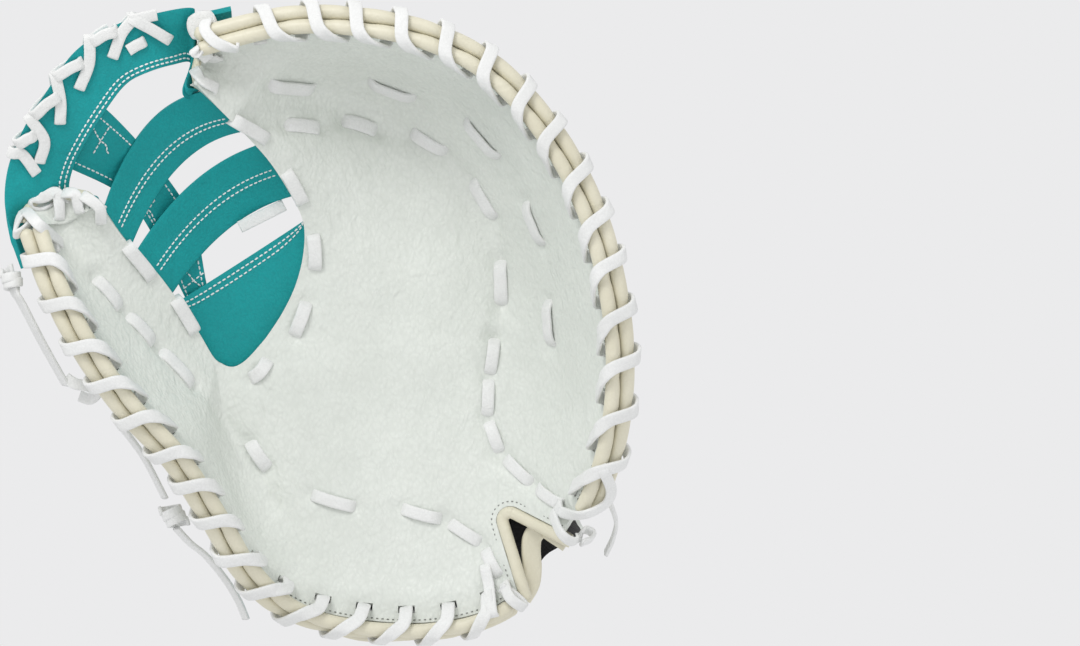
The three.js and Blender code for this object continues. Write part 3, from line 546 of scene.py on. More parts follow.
# %% The table of sections, as shares of the width, the length and the rim's height
section_table = np.array([
    # rim x, rim y, rim z, edge x, edge y, edge z
    [-0.525, 0.18, 0.83, -0.43, 0.21, 0.76], [-0.49, 0.09, 0.86, -0.392, 0.155, 0.645],
    [-0.438, -0.007, 0.86, -0.34, 0.1, 0.53], [-0.375, -0.095, 0.81, -0.286, 0.022, 0.43],
    [-0.3, -0.175, 0.745, -0.257, -0.026, 0.39], [-0.242, -0.265, 0.645, -0.242, -0.038, 0.37],
    [-0.195, -0.345, 0.545, -0.232, -0.042, 0.365], [-0.132, -0.405, 0.445, -0.223, -0.042, 0.365],
    [-0.04, -0.437, 0.4, -0.215, -0.039, 0.365], [0.097, -0.445, 0.4, -0.207, -0.034, 0.365],
    [0.21, -0.415, 0.415, -0.2, -0.028, 0.365], [0.289, -0.333, 0.51, -0.193, -0.021, 0.365],
    [0.35, -0.233, 0.725, -0.184, -0.011, 0.365], [0.381, -0.138, 0.86, -0.168, 0.008, 0.365],
    [0.39, -0.03, 0.94, -0.142, 0.047, 0.37], [0.378, 0.079, 0.985, -0.121, 0.091, 0.385],
    [0.346, 0.193, 1, -0.109, 0.141, 0.405], [0.285, 0.306, 1, -0.11, 0.188, 0.435],
    [0.196, 0.404, 0.99, -0.132, 0.233, 0.49], [0.093, 0.457, 0.975, -0.161, 0.278, 0.56],
    [-0.019, 0.479, 0.95, -0.194, 0.315, 0.645], [-0.131, 0.48, 0.915, -0.223, 0.343, 0.725],
    [-0.27, 0.45, 0.865, -0.275, 0.396, 0.82],
])
sections = section_table * np.array([mitt_width, mitt_length, rim_height] * 2)
last_section = len(sections) - 1
print("sections:", len(sections))


# %% Points of the pocket face
def smooth(x):
    """A ramp from 0 to 1 with level ends: x squared times (3 - 2x)."""
    u = np.clip(x, 0, 1)
    return u * u * (3 - 2 * u)


def section_at(s):
    """The table's six values at s, on a Catmull-Rom curve through the rows."""
    s = np.asarray(s, float)
    i = np.clip(np.floor(s).astype(int), 0, last_section - 1)
    rows = (sections[np.clip(i + k, 0, last_section)] for k in (-1, 0, 1, 2))
    return bend(*rows, (s - i)[..., None])


def across_at(s):
    """How far the leather runs across at s, from rim to edge in plan."""
    at = section_at(s)
    return np.linalg.norm(at[..., 0:2] - at[..., 3:5], axis=-1)


def palm_face(s, t):
    """Straight from rim to edge in plan; the height falls as a power from the rim to the floor and
    climbs again on a smooth ramp to the edge."""
    s, t = np.broadcast_arrays(np.asarray(s, float), np.asarray(t, float))
    at = section_at(s)
    across = across_at(s)
    wall = np.clip(1 - t * across / np.minimum(wall_run, across), 0, None) ** wall_power
    lip_start = np.clip(1 - lip_run / across, 0, None)
    lip = smooth((t - lip_start) / (1 - lip_start))
    plan = at[..., 0:2] + (at[..., 3:5] - at[..., 0:2]) * t[..., None]
    height = floor_height + (at[..., 2] - floor_height) * wall + (at[..., 5] - floor_height) * lip
    return np.concatenate([plan, height[..., None]], -1)


def frame_at(s, t):
    """The point, the way along the rim, the way out of the pocket face and the way past the rim."""
    step = 0.01
    along = unit(palm_face(s + step, t) - palm_face(s - step, t))
    inward = palm_face(s, t + step) - palm_face(s, t - step)
    normal = unit(np.cross(along, inward))
    return palm_face(s, t), along, normal, unit(np.cross(along, normal))


rim_steps = np.linspace(0, last_section, 441)
rim_walk = np.linalg.norm(np.diff(palm_face(rim_steps, 0.0), axis=0), axis=1)
rim_lengths = np.concatenate([[0], np.cumsum(rim_walk)])
print("rim length in mm:", round(1000 * rim_lengths[-1]))


def length_at(s):
    """How long the rim is from its start to s."""
    return np.interp(s, rim_steps, rim_lengths)


def s_at(length):
    """The place s at a length along the rim."""
    return np.interp(length, rim_lengths, rim_steps)


def even_run(start, end, count):
    """Places from start to end, at even lengths along the rim."""
    return s_at(np.linspace(length_at(start), length_at(end), count))


def hole_places(start, end, spread=1.0):
    """Lace holes at an even pitch along the rim, closing up towards the end where spread is less."""
    share = np.linspace(0, 1, lace_turns + 1) ** spread
    return s_at(length_at(start) + (length_at(end) - length_at(start)) * share)


heel_run_end, finger_run_start = 10.15, 11.75
thumb_holes = hole_places(0.5, heel_run_end - 0.15)
finger_holes = hole_places(finger_run_start + 0.2, last_section - 0.75, 0.92)


# %% [markdown]
# The back leather lies against the palm at the laced rim and leaves it to make room for the hand.
# At the wrist it leaves the rim as well, so that the hand can go in. All layers outside it, such as
# the wrist band, are counted in levels from its outer face.

# %% Points of the back leather
open_after = length_at(thumb_holes[10]) + 0.65 * lace_width
open_before = length_at(finger_holes[0]) - 2.5 * lace_width


def wrist_open(s):
    at = length_at(s)
    return smooth((at - open_after) / open_run) * smooth((open_before - at) / open_run)


def palm_thickness(s, t):
    """Leather at rim and edge, with padding that swells smoothly between them."""
    across = across_at(s)
    return leather + palm_padding * smooth(t * across / pad_run) * smooth((1 - t) * across / pad_run)


def room_at(s, t):
    """The hollow for the hand: none in the laced flange, full further in, none at the web's edge."""
    across = across_at(s)
    opened = wrist_open(s)
    flange = 0.9 * lace_inset
    rise = smooth((t * across - flange) / (np.minimum(room_rise, 0.85 * across) - flange))
    fall = smooth((1 - t) * across / room_fall)
    rise = rise + (1 - rise) * opened
    tip = smooth(s / thumb_tip_run) * smooth((last_section - s) / finger_tip_run)
    return clearance + (hand_room * (tip_room + (1 - tip_room) * tip) + wrist_room * opened) * rise * fall


def lift_at(y):
    """How far the wrist fastening holds the leather off the ground."""
    return wrist_lift * smooth((-0.1 * mitt_length - y) / (0.1 * mitt_length))


def away_from(s, t, slack):
    """Square to the leather near the rim, straight down further in."""
    normal = frame_at(s, t)[2]
    tilt = ((1 - smooth(t * across_at(s) / room_rise)) * (1 - slack))[..., None]
    return -unit(np.concatenate([normal[..., :2] * tilt, normal[..., 2:]], -1))


def behind_face(s, t, depth):
    return palm_face(s, t) + away_from(s, t, 0.0) * np.asarray(depth)[..., None]


def outer_face(s, t, level):
    """A point outside the palm: its thickness, the hollow, the back leather and the level beyond."""
    s, t = np.broadcast_arrays(np.asarray(s, float), np.asarray(t, float))
    point = behind_face(s, t, palm_thickness(s, t))
    point = point + away_from(s, t, wrist_open(s)) * (room_at(s, t) + leather + level)[..., None]
    point[..., 2] = np.maximum(point[..., 2], lift_at(point[..., 1]) - level)
    return point


# %% [markdown]
# ## Creases, dents and puckers
# Leather that is laced tight isn't smooth: it swells between the laces, sinks where a lace pulls it
# and rumples a little everywhere. Three simple fields give that: lattice noise for the rumples, a
# bell curve round each lace end for the dents, and one along each seam for the channels.

# %% Fields over the leather
def lumps(points, size, seed):
    """Noise from -1 to 1: random values on a lattice of that size, blended smoothly between the
    eight nearest corners."""
    table = np.random.default_rng(seed).uniform(-1, 1, (32, 32, 32))
    base = np.floor(points / size).astype(int)
    u = smooth(points / size - base)
    total = np.zeros(points.shape[:-1])
    for corner in np.ndindex(2, 2, 2):
        at = (base + corner) % 32
        weight = np.prod(np.where(corner, u, 1 - u), -1)
        total += weight * table[at[..., 0], at[..., 1], at[..., 2]]
    return total


def bells(points, centres, radius):
    """A bell curve of that radius round each of the centres, the nearest one counting."""
    square = np.full(points.shape[:-1], 1e9)
    for centre in centres:
        square = np.minimum(square, ((points - centre) ** 2).sum(-1))
    return np.exp(-square / radius**2)


def channel(points, line, radius):
    """A bell curve across a line of points, by the distance to its nearest stretch."""
    square = np.full(points.shape[:-1], 1e9)
    for a, b in zip(line[:-1], line[1:]):
        run = b - a
        share = np.clip(((points - a) @ run) / (run @ run), 0, 1)
        square = np.minimum(square, ((points - a - share[..., None] * run) ** 2).sum(-1))
    return np.exp(-square / radius**2)


# %% [markdown]
# A place in the photograph is found on the leather by looking: the pocket face is laid out as a
# dense grid, seen through the camera, and the nearest of its points is taken.

# %% From the photograph to the leather
search_s, search_t = grid_of(np.linspace(0, last_section, 1101), np.linspace(0, 1, 221))
search_pixels = photo_pixels(palm_face(search_s, search_t))


def nearest(places, spots):
    """The number of the nearest of the places, for each of the spots."""
    return [np.argmin(((places - spot) ** 2).sum(-1)) for spot in np.asarray(spots, float)]


def on_palm(spots):
    """(s, t) of pixels of the palm view."""
    found = nearest(search_pixels, spots)
    return np.stack([search_s.flat[found], search_t.flat[found]], -1)


# %% [markdown]
# ## The palm
# The palm is the mitt's padded leather. Short laces hold leather, felt and lining together, and each
# sinks into the padding. Their places are read in the photograph, as pixels of both ends.

# %% The short laces of the palm
palm_lace_rows = {
    "outer_row": [((270, 86), (317, 90)), ((367, 83), (415, 100)), ((463, 119), (499, 159)),
                  ((524, 202), (542, 247)), ((547, 299), (551, 346))],
    "inner_row": [((234, 120), (269, 141)), ((288, 124), (322, 128)), ((345, 119), (378, 130)),
                  ((410, 133), (445, 154)), ((470, 181), (493, 220)), ((499, 260), (501, 305))],
    "web_edge_row": [((286, 172), (303, 204)), ((313, 235), (315, 271)), ((306, 302), (294, 336)),
                     ((268, 360), (250, 378))],
    "hinge_row": [((495, 339), (490, 374)), ((489, 380), (487, 416)), ((489, 422), (499, 452)),
                  ((503, 457), (529, 483)), ((534, 487), (560, 505))],
    "heel_row": [((311, 494), (355, 507)), ((402, 509), (442, 519)), ((449, 523), (480, 542)),
                 ((484, 549), (498, 577))],
    "thumb_row": [((97, 278), (122, 309)), ((129, 315), (155, 344)), ((162, 350), (195, 385))],
    "thumb_web_row": [((127, 246), (153, 280)), ((175, 299), (195, 333)), ((250, 442), (268, 469))],
}
stitch_ends = {row: np.array([on_palm(pair) for pair in pairs]) for row, pairs in palm_lace_rows.items()}
all_ends = np.concatenate([ends.reshape(-1, 2) for ends in stitch_ends.values()])
end_points = palm_face(all_ends[:, 0], all_ends[:, 1])
print("short palm laces:", len(all_ends) // 2)

# %% [markdown]
# Laces that quilt the padding leave channels where the mitt folds. Each channel is a line of pixels,
# and the leather sinks by a bell curve across it.

# %% Relief of the palm leather
palm_creases = {
    "inner_channel": [(208, 100), (234, 118), (290, 126), (345, 120), (378, 130), (445, 154), (470, 181),
                      (493, 220), (500, 262), (501, 305), (495, 337)],
    "hinge_channel": [(495, 337), (489, 377), (488, 418), (501, 455), (531, 485), (561, 506)],
    "heel_channel": [(446, 521), (482, 545), (499, 579), (507, 598)],
    "thumb_channel": [(97, 278), (127, 312), (159, 347), (198, 387), (232, 430), (258, 470), (275, 505)],
}
crease_lines = [palm_face(*on_palm(line).T) for line in palm_creases.values()]
print("channels of the palm:", len(crease_lines))


def hole_points(holes):
    """Where the edge lace goes through the palm: its inset from the rim, laid off across."""
    run = np.linalg.norm(palm_face(holes, 0.01) - palm_face(holes, 0.0), axis=-1) / 0.01
    t = lace_inset / run
    return palm_face(holes, t), t


rumples = ((0.9 * mm, 38 * mm, 3), (0.4 * mm, 13 * mm, 5), (0.12 * mm, 5 * mm, 8))
channel_depth, channel_reach = 1.5 * mm, 4.5 * mm
dent_depth, dent_reach = 1.9 * mm, 4 * mm
pucker_depth, pucker_reach = 0.7 * mm, 5 * mm
flange_rise, flange_middle, flange_reach = 0.8 * mm, 15 * mm, 7 * mm


def palm_relief(s, t):
    """Height of the leather off the plain face: rumples, less channels, dents and lace puckers."""
    points = palm_face(s, t)
    inner = smooth(t * across_at(s) / (14 * mm)) * smooth((1 - t) * across_at(s) / (12 * mm))
    height = sum(size * lumps(points, apart, seed) for size, apart, seed in rumples)
    for line in crease_lines:
        height = height - channel_depth * channel(points, line, channel_reach)
    height = (height - dent_depth * bells(points, end_points, dent_reach)) * inner
    rim_holes = np.concatenate([hole_points(thumb_holes)[0], hole_points(finger_holes)[0]])
    puckers = bells(points, rim_holes, pucker_reach)
    flange = np.exp(-((t * across_at(s) - flange_middle) / flange_reach) ** 2)
    return height - pucker_depth * puckers + flange_rise * flange * (1 - puckers)


def palm_skin(s, t, lift=0.0):
    """The palm leather's face with its relief, and anything lifted off it."""
    point, _, normal, _ = frame_at(s, t)
    return point + normal * (palm_relief(s, t) + lift)[..., None], normal


# %% [markdown]
# A notch beside the wrist lets the heel of the mitt fold. It is cut out of the palm in plan.

# %% The notch beside the wrist
notch_apex = np.array([0.2 * mitt_width, -0.253 * mitt_length])
notch_heel = np.array([0.25 * mitt_width, -0.41 * mitt_length])
notch_finger = np.array([0.304 * mitt_width, -0.302 * mitt_length])
notch_round = 2.5 * binding_radius
to_heel, to_finger = unit(notch_heel - notch_apex), unit(notch_finger - notch_apex)


def notch_outline(grow, steps=24):
    """Two straight sides that meet in an arc, moved outwards by grow."""
    start = math.atan2(to_heel[1], to_heel[0]) - math.pi / 2
    end = math.atan2(to_finger[1], to_finger[0]) + math.pi / 2 - 2 * math.pi
    angle = np.linspace(start, end, steps)
    middle = notch_apex + (to_heel + to_finger) * notch_round
    arc = middle + np.stack([np.cos(angle), np.sin(angle)], -1) * (notch_round + grow)
    reach = 1.6 * np.linalg.norm(notch_heel - notch_apex)
    return np.concatenate([[arc[0] + to_heel * reach], arc, [arc[-1] + to_finger * reach]])


# %% The palm leather
def lace_slots(holes):
    """Boxes that the edge lace passes through, a little larger than the lace."""
    points, t = hole_points(holes)
    _, along, normal, outward = frame_at(holes, t)
    depth = 2 * (palm_thickness(holes, t) + 2 * clearance + leather)
    half = np.array([(lace_width + hole_slack) / 2, (lace_thickness + hole_slack) / 2])
    faces = np.array([[0, 1, 2, 3], [4, 7, 6, 5], [4, 5, 1, 0], [5, 6, 2, 1], [6, 7, 3, 2], [7, 4, 0, 3]])
    boxes = []
    for k in range(len(holes)):
        corner = np.array([[1, 1], [-1, 1], [-1, -1], [1, -1]]) * half
        flat = points[k] + corner[:, :1] * along[k] - corner[:, 1:] * outward[k]
        top, foot = flat + normal[k] * 3 * mm, flat - normal[k] * depth[k]
        boxes.append((np.concatenate([top, foot]), [faces]))
    return boxes


palm_s, palm_t = grid_of(np.linspace(0, last_section, 353), np.linspace(0, 1, 81) ** 1.05)
palm_top = palm_skin(palm_s, palm_t)[0]
palm_under = behind_face(palm_s, palm_t, palm_thickness(palm_s, palm_t))
palm = sheet("palm_leather", palm_top, palm_under, white_hide, "white_leather", "palm",
             lining=black_lining)
trim(palm, notch_outline(0))
carve(palm, lace_slots(thumb_holes) + lace_slots(finger_holes))
print("palm size in mm:", [round(1000 * d) for d in palm.dimensions])

# %% [markdown]
# Each short lace comes out of a slit, lies over the padding and goes back in. A flat section is
# carried along an arch over the leather, whose ends dip below the skin.

# %% Short laces over the palm
def skin_lace(pair, width, steps=22, height=1.5 * mm, sink=2.6 * mm):
    """A lace over the skin between two places: lifted by one minus the twelfth power of the
    distance from its middle, and sunk at the ends."""
    u = np.linspace(0, 1, steps)
    s = pair[0, 0] + (pair[1, 0] - pair[0, 0]) * u
    t = pair[0, 1] + (pair[1, 1] - pair[0, 1]) * u
    lift = height - (height + sink) * np.abs(2 * u - 1) ** 12
    path, normal = palm_skin(s, t, lift)
    ahead = unit(np.gradient(path, axis=0))
    profile = flat_section(width, lace_thickness)
    return tube_arrays(path, np.cross(ahead, normal), profile)


for row, ends in stitch_ends.items():
    width = lace_width * (0.95 if row in ("hinge_row", "heel_row") else 1.05)
    points, faces = join([skin_lace(pair, width) for pair in ends])
    add_piece("palm_laces_" + row, put_mesh(row, points, faces, [lace_hide]), "lace_leather")

# %% [markdown]
# ## Welts
# A welt is a strip of leather rolled over a cord and sewn into the edge. Two run side by side along
# the rim, one on the palm and one on the back leather. They swell between the laces and are pinched
# under them, so the radius of the tube follows a bell curve round each crossing.

# %% Rolled welts along the rim
stack_height = 2 * leather + clearance
welt_spread = 2 * welt_radius + clearance
welt_out = welt_radius + clearance
pinch_reach, tip_reach = 4.2 * mm, 2.5 * mm
palm_welt_up = -0.5 * stack_height + 0.5 * welt_spread
back_welt_up = palm_welt_up - welt_spread


def at_rim(s, out, up):
    """A point past the rim by out, and above the rim's face by up."""
    point, _, normal, outward = frame_at(s, 0.0)
    return point + outward * np.asarray(out)[..., None] + normal * np.asarray(up)[..., None]


def crossings(holes, way, backwards):
    """Lengths along the rim where the lace crosses, a share of the way from hole to hole."""
    lengths = length_at(holes)
    before, after = (lengths[1:], lengths[:-1]) if backwards else (lengths[:-1], lengths[1:])
    return before + (after - before) * way


def welt(name, start, end, up, crossed, node_name):
    """A tube along the rim, pinched at the crossings and shifted outwards between them."""
    s = even_run(start, end, 460)
    pinch = np.exp(-((length_at(s)[:, None] - crossed) / pinch_reach) ** 2).max(1)
    radius = welt_radius * (1.03 - 0.1 * pinch)
    tip = np.minimum(length_at(s) - length_at(start), length_at(end) - length_at(s)) / tip_reach
    radius = radius * np.sqrt(np.clip(tip, 0.02, 1))
    path = at_rim(s, welt_out + 0.5 * mm * (1 - pinch), up)
    roll = tube_arrays(path, frame_at(s, 0.0)[2], circle(radius, 16))
    lay(name, [roll], cream_hide, "cream_leather", node_name)


palm_way, back_way = 0.5, 0.08
thumb_run, finger_run = (0.0, heel_run_end), (finger_run_start, float(last_section))
for side, run, holes, backwards in (
        ("thumb", thumb_run, thumb_holes, False), ("fingers", finger_run, finger_holes, True)):
    for layer_name, up, way in (("palm", palm_welt_up, palm_way), ("back", back_welt_up, back_way)):
        welt(f"{layer_name}_welt_{side}_roll", *run, up, crossings(holes, way, backwards),
             f"{layer_name}_welt_{side}")

# %% [markdown]
# ## Edge lace
# One flat rawhide lace closes the mitt: out of a hole in the palm, over both welts and round to the
# back, through the back leather and up through the next hole. It is carried as a flat section along
# a curve through the same few places that the CAD uses for each turn.

# %% The lace's path
turn_table = [
    # height of the welt it passes, angle round it in degrees, share of the way to the next hole
    (back_welt_up, -120, 0.02), (back_welt_up, -70, 0.08), (back_welt_up, -20, 0.18),
    (palm_welt_up, 20, 0.32), (palm_welt_up, 70, 0.52), (palm_welt_up, 120, 0.74),
]


def edge_lace(holes, seed):
    """Knots of each turn: above the hole, below it, then round the welts to the next hole."""
    rng = np.random.default_rng(seed)
    points, t = hole_points(holes)
    _, along, normal, _ = frame_at(holes, t)
    depth = palm_thickness(holes, t) + 2 * clearance + leather
    bow = (welt_radius + 3 * clearance + 0.5 * lace_thickness) / math.cos(math.pi / 8)
    above = points + normal * 1.1 * lace_thickness
    below = behind_face(holes, t, depth + 1.3 * lace_thickness)
    knots, hints = [], []
    for k, hole in enumerate(holes):
        knots += [above[k], below[k]]
        hints += [along[k]] * 2
        if k + 1 < len(holes):
            drift = rng.uniform(-0.06, 0.06)
            for up, degrees, way in turn_table:
                place = hole + (holes[k + 1] - hole) * (way + drift * math.sin(math.pi * way))
                turn = math.radians(degrees)
                knots.append(at_rim(place, welt_out + bow * math.cos(turn), up + bow * math.sin(turn)))
                hints.append(frame_at(place, 0.0)[1])
    path = through(knots, 5)
    side = through(hints, 5)
    twist = 0.12 * np.sin(np.linspace(0, 9 * len(holes), len(path)))
    ahead = unit(np.gradient(path, axis=0))
    side = unit(side) + twist[:, None] * np.cross(ahead, side)
    return tube_arrays(path, side, flat_section(lace_width, lace_thickness))


for side, holes, seed in (("thumb", thumb_holes, 11), ("fingers", finger_holes[::-1], 12)):
    points, faces = edge_lace(holes, seed)
    add_piece(f"edge_lace_{side}_run", put_mesh("edge_lace", points, faces, [lace_hide]),
              "lace_leather", f"edge_lace_{side}")

# %% [markdown]
# ## The back
# The back leather is the outside of the mitt. It hugs the fingers, so soft channels run between
# them, and a stitched dome pads the back of the hand. Places on it are read in the back view, which
# is the palm view mirrored about a line between the two.

# %% From the back view to the leather
mirror_palm_x, mirror_back_x, mirror_shrink = 528, 633, 1.02
back_s, back_t = grid_of(np.linspace(0, last_section, 661), np.linspace(0, 1, 161))
back_plan = outer_face(back_s, back_t, 0.0)[..., :2]


def plan_of_back(spots):
    """Plan places of pixels of the back view: mirrored, shrunk and scaled to metres."""
    spots = np.asarray(spots, float).reshape(-1, 2)
    across = mirror_palm_x - (spots[:, 0] - mirror_back_x) / mirror_shrink
    x = photo_middle[0] + (across - photo_width / 2) * photo_scale
    y = photo_middle[1] + (photo_height / 2 - spots[:, 1]) * photo_scale
    return np.stack([x, y], -1)


def on_back(spots):
    """(s, t) of pixels of the back view, by the nearest place in plan."""
    found = nearest(back_plan, plan_of_back(spots))
    return np.stack([back_s.flat[found], back_t.flat[found]], -1)


back_channels = {
    "pinky_channel": [(641, 231), (643, 290), (648, 350), (651, 412)],
    "dome_left": [(752, 264), (728, 275), (715, 297), (709, 335), (705, 371), (701, 418)],
    "dome_right": [(752, 264), (770, 280), (777, 321), (783, 383), (787, 420)],
    "ring_channel": [(664, 240), (676, 160), (705, 110), (745, 72)],
    "middle_channel": [(742, 240), (752, 190), (772, 140), (800, 92)],
}
channel_lines = [outer_face(*on_back(line).T, 0.0) for line in back_channels.values()]
print("channels of the back:", len(channel_lines))


def back_relief(s, t):
    """Rumples and finger channels of the back leather, counted outwards."""
    points = outer_face(s, t, 0.0)
    calm = smooth(t * across_at(s) / (14 * mm)) * smooth((1 - t) * across_at(s) / (14 * mm))
    free = smooth((points[..., 2] - lift_at(points[..., 1])) / (5 * mm)) * (1 - wrist_open(s))
    height = 0.7 * mm * lumps(points, 40 * mm, 21) + 0.3 * mm * lumps(points, 14 * mm, 22)
    height = height * free
    for line in channel_lines:
        height = height - 1.3 * mm * channel(points, line, 4 * mm)
    return height * calm


# %% [markdown]
# The back leather has a window over the wrist and is cut away below it, where the band goes.

# %% The hand window
window_middle = np.array([0.077 * mitt_width, -0.215 * mitt_length])


def window_outline(grow, steps=12):
    """A rectangle with corners of 0.42 of its height, moved outwards by grow."""
    corner = 0.42 * window_height
    half = np.array([0.5 * window_width - corner, 0.5 * window_height - corner])
    points = []
    for x, y, start in ((1, 1, 0), (-1, 1, 90), (-1, -1, 180), (1, -1, 270)):
        angle = np.radians(start + np.linspace(0, 90, steps))
        middle = window_middle + np.array([x, y]) * half
        points.append(middle + np.stack([np.cos(angle), np.sin(angle)], -1) * (corner + grow))
    return np.concatenate(points)


band_top = window_middle[1] - 0.5 * window_height + clearance
window_sides = window_middle[0] - 0.5 * window_width, window_middle[0] + 0.5 * window_width
cuff_left, cuff_right = -0.125 * mitt_width, 0.225 * mitt_width
cuff_drop = 0.19 * band_height
wrist_cut = np.array([
    (window_sides[0], window_middle[1]), (window_sides[0], band_top), (cuff_left, band_top - cuff_drop),
    (cuff_left, -mitt_length), (cuff_right, -mitt_length), (cuff_right, band_top - cuff_drop),
    (window_sides[1], band_top), (window_sides[1], window_middle[1]),
])

# %% The back leather
shell_s, shell_t = grid_of(np.linspace(0, last_section, 309), np.linspace(0, 1, 73))
shell_rise = back_relief(shell_s, shell_t)
back = sheet("back_leather", outer_face(shell_s, shell_t, shell_rise - leather),
             outer_face(shell_s, shell_t, shell_rise), white_hide, "white_leather", "back",
             lining=black_lining, lined=0)
trim(back, window_outline(0))
trim(back, wrist_cut)
carve(back, lace_slots(thumb_holes) + lace_slots(finger_holes))

# %% [markdown]
# ## Stitching
# A sewn seam is a row of short threads, each a little sunk at its ends. One small capsule is made
# and laid many times along a path, all at once, with a few dozen faces each.

# %% Rows of stitches
def capsule(length, radius, sides=6):
    """Rings of a short thread along x: their radius is the root of one minus the fourth power."""
    along = np.array([-1.0, -0.7, 0.0, 0.7, 1.0])
    ring = radius * np.sqrt(np.clip(1.04 - along**4, 0, 1))
    angle = np.linspace(0, 2 * np.pi, sides, endpoint=False)
    sag = -0.45 * radius * along**2
    return np.stack(np.broadcast_arrays(
        along[:, None] * length / 2, ring[:, None] * np.cos(angle),
        ring[:, None] * np.sin(angle) + sag[:, None]), -1), sides


def resample(points, normals, pitch):
    """Points and normals at an even pitch along a path."""
    walk = np.concatenate([[0], np.cumsum(np.linalg.norm(np.diff(points, axis=0), axis=1))])
    at = np.linspace(0, walk[-1], max(2, int(round(walk[-1] / pitch)) + 1))
    moved = [np.stack([np.interp(at, walk, v[:, c]) for c in range(3)], -1) for v in (points, normals)]
    return moved[0], unit(moved[1])


def stitches(paths, pitch=2.7 * mm, length=2.0 * mm, radius=0.42 * mm):
    """Points and faces of capsules at an even pitch; each path is (points, normals)."""
    rings, sides = capsule(length, radius)
    rows = len(rings)
    places, aheads, ups = [], [], []
    for points, normals in paths:
        both = resample(points, np.broadcast_to(normals, points.shape), pitch)
        places.append(0.5 * (both[0][1:] + both[0][:-1]))
        aheads.append(unit(both[0][1:] - both[0][:-1]))
        ups.append(0.5 * (both[1][1:] + both[1][:-1]))
    place, ahead, up = (np.concatenate(x) for x in (places, aheads, ups))
    side = unit(np.cross(up, ahead))
    up = np.cross(ahead, side)
    basis = np.stack([ahead, side, up], 1)
    points = np.einsum("rck,nkj->nrcj", rings, basis) + place[:, None, None]
    count = len(place)
    ends = np.stack([place - ahead * length / 2 * 1.02, place + ahead * length / 2 * 1.02], 1)
    block = rows * sides + 2
    all_points = np.concatenate([points.reshape(count, -1, 3), ends], 1).reshape(-1, 3)
    quads = cells(rows, sides, closed=True)[:, ::-1]
    fans = np.concatenate(end_fans(rows, sides))
    moves = (np.arange(count) * block)[:, None, None]
    return all_points, [(quads + moves).reshape(-1, 4), (fans + moves).reshape(-1, 3)]


def sew(name, paths, thread=white_thread, **kind):
    """One piece of all the stitches along some seams."""
    lay(name, [stitches(paths, **kind)], thread, "lace_leather")


# %% [markdown]
# ## The wrist
# A band closes the mitt over the back of the wrist, and a strap with hook-and-loop tightens it. Each
# layer lies on the one below, so all are cut from the same surface at its own level. Cream leather
# is folded over their edges.

# %% Layers of the wrist fastening
layer_s, layer_t = grid_of(np.linspace(4.4, 12.6, 165), np.linspace(-0.12, 0.62, 91))


def layer(name, level, thickness, outline, finish, slot_name, node_name, lining=None):
    """The stretch of one level that lies inside a plan outline."""
    inner, outer = (outer_face(layer_s, layer_t, at) for at in (level, level + thickness))
    piece = sheet(name, inner, outer, finish, slot_name, node_name, lining=lining, lined=0)
    trim(piece, outline, "INTERSECT")


def rounded_box(x0, x1, y0, y1, corner_left, corner_right, steps=10):
    """A box whose left and right corners have their own radii, anticlockwise from the top right."""
    points = []
    for x, y, dx, dy, start, corner in (
            (x1, y1, -1, -1, 0, corner_right), (x0, y1, 1, -1, 90, corner_left),
            (x0, y0, 1, 1, 180, corner_left), (x1, y0, -1, 1, 270, corner_right)):
        angle = np.radians(start + np.linspace(0, 90, steps))
        points.append(np.stack([x + corner * (dx + np.cos(angle)), y + corner * (dy + np.sin(angle))], -1))
    return np.concatenate(points)


def on_level(spots, level):
    """Places over the open stretch of the wrist, where the layers lie flat."""
    spots = np.asarray(spots, float)
    return np.c_[spots, lift_at(spots[:, 1]) - level]


def edge_roll(name, spots, level, half_height, half_width, node_name, steps=4):
    """Leather folded over an edge: an ellipse carried along the edge."""
    path = through(on_level(spots, level), steps)
    profile = circle(1.0, 14) * np.array([half_height, half_width])
    lay(name, [tube_arrays(path, up_way, profile)], cream_hide, "cream_leather", node_name)


# %% The band
band_corners = np.array([
    # x as a share of the width, down as a share of the band's height
    [0.25, 0], [-0.083, 0], [-0.083, -0.2], [-0.1, -0.31], [-0.138, -0.22], [-0.162, 0], [-0.16, 0.25],
    [-0.145, 0.5], [-0.12, 0.77], [-0.093, 0.95], [-0.06, 1.06], [-0.016, 1.12], [0.04, 1.12],
    [0.11, 1.08], [0.17, 1], [0.22, 0.87], [0.244, 0.65], [0.25, 0.4],
])
band_outline = np.array([0, band_top]) + band_corners * np.array([mitt_width, -band_height])
layer("wrist_band_leather", band_level, leather, band_outline, teal_hide, "teal_leather", "wrist_band",
      lining=black_lining)
band_middle = band_level + 0.5 * leather
window_ring = window_outline(-binding_radius - clearance)
window_ring = window_ring[window_ring[:, 1] > window_middle[1] - 0.2 * window_height]
turn_at = np.argmax((window_ring[:, 0] > window_middle[0]) & (window_ring[:, 1] < window_middle[1]))
edge_roll("window_binding_roll", np.roll(window_ring, -turn_at, axis=0), -0.5 * leather,
          binding_radius, 1.2 * binding_radius, "window_binding", steps=2)
top_run = np.linspace(window_sides[0] + 2 * binding_radius, window_sides[1] - 2 * binding_radius, 30)
edge_roll("wrist_band_top_binding_roll", np.c_[top_run, np.full(30, band_top + binding_radius + clearance)],
          band_middle, binding_radius, binding_radius, "wrist_band_top_binding")
along_bottom = (band_corners[:, 1] > 0.9) & (band_corners[:, 0] > -0.08) & (band_corners[:, 0] < 0.2)
edge_roll("wrist_band_bottom_binding_roll",
          band_outline[along_bottom] - np.array([0, binding_radius + clearance]),
          band_middle, binding_radius, binding_radius, "wrist_band_bottom_binding", steps=8)

# %% [markdown]
# The strap lies on the band, its round end on the hook-and-loop, with a sewn patch in its middle.

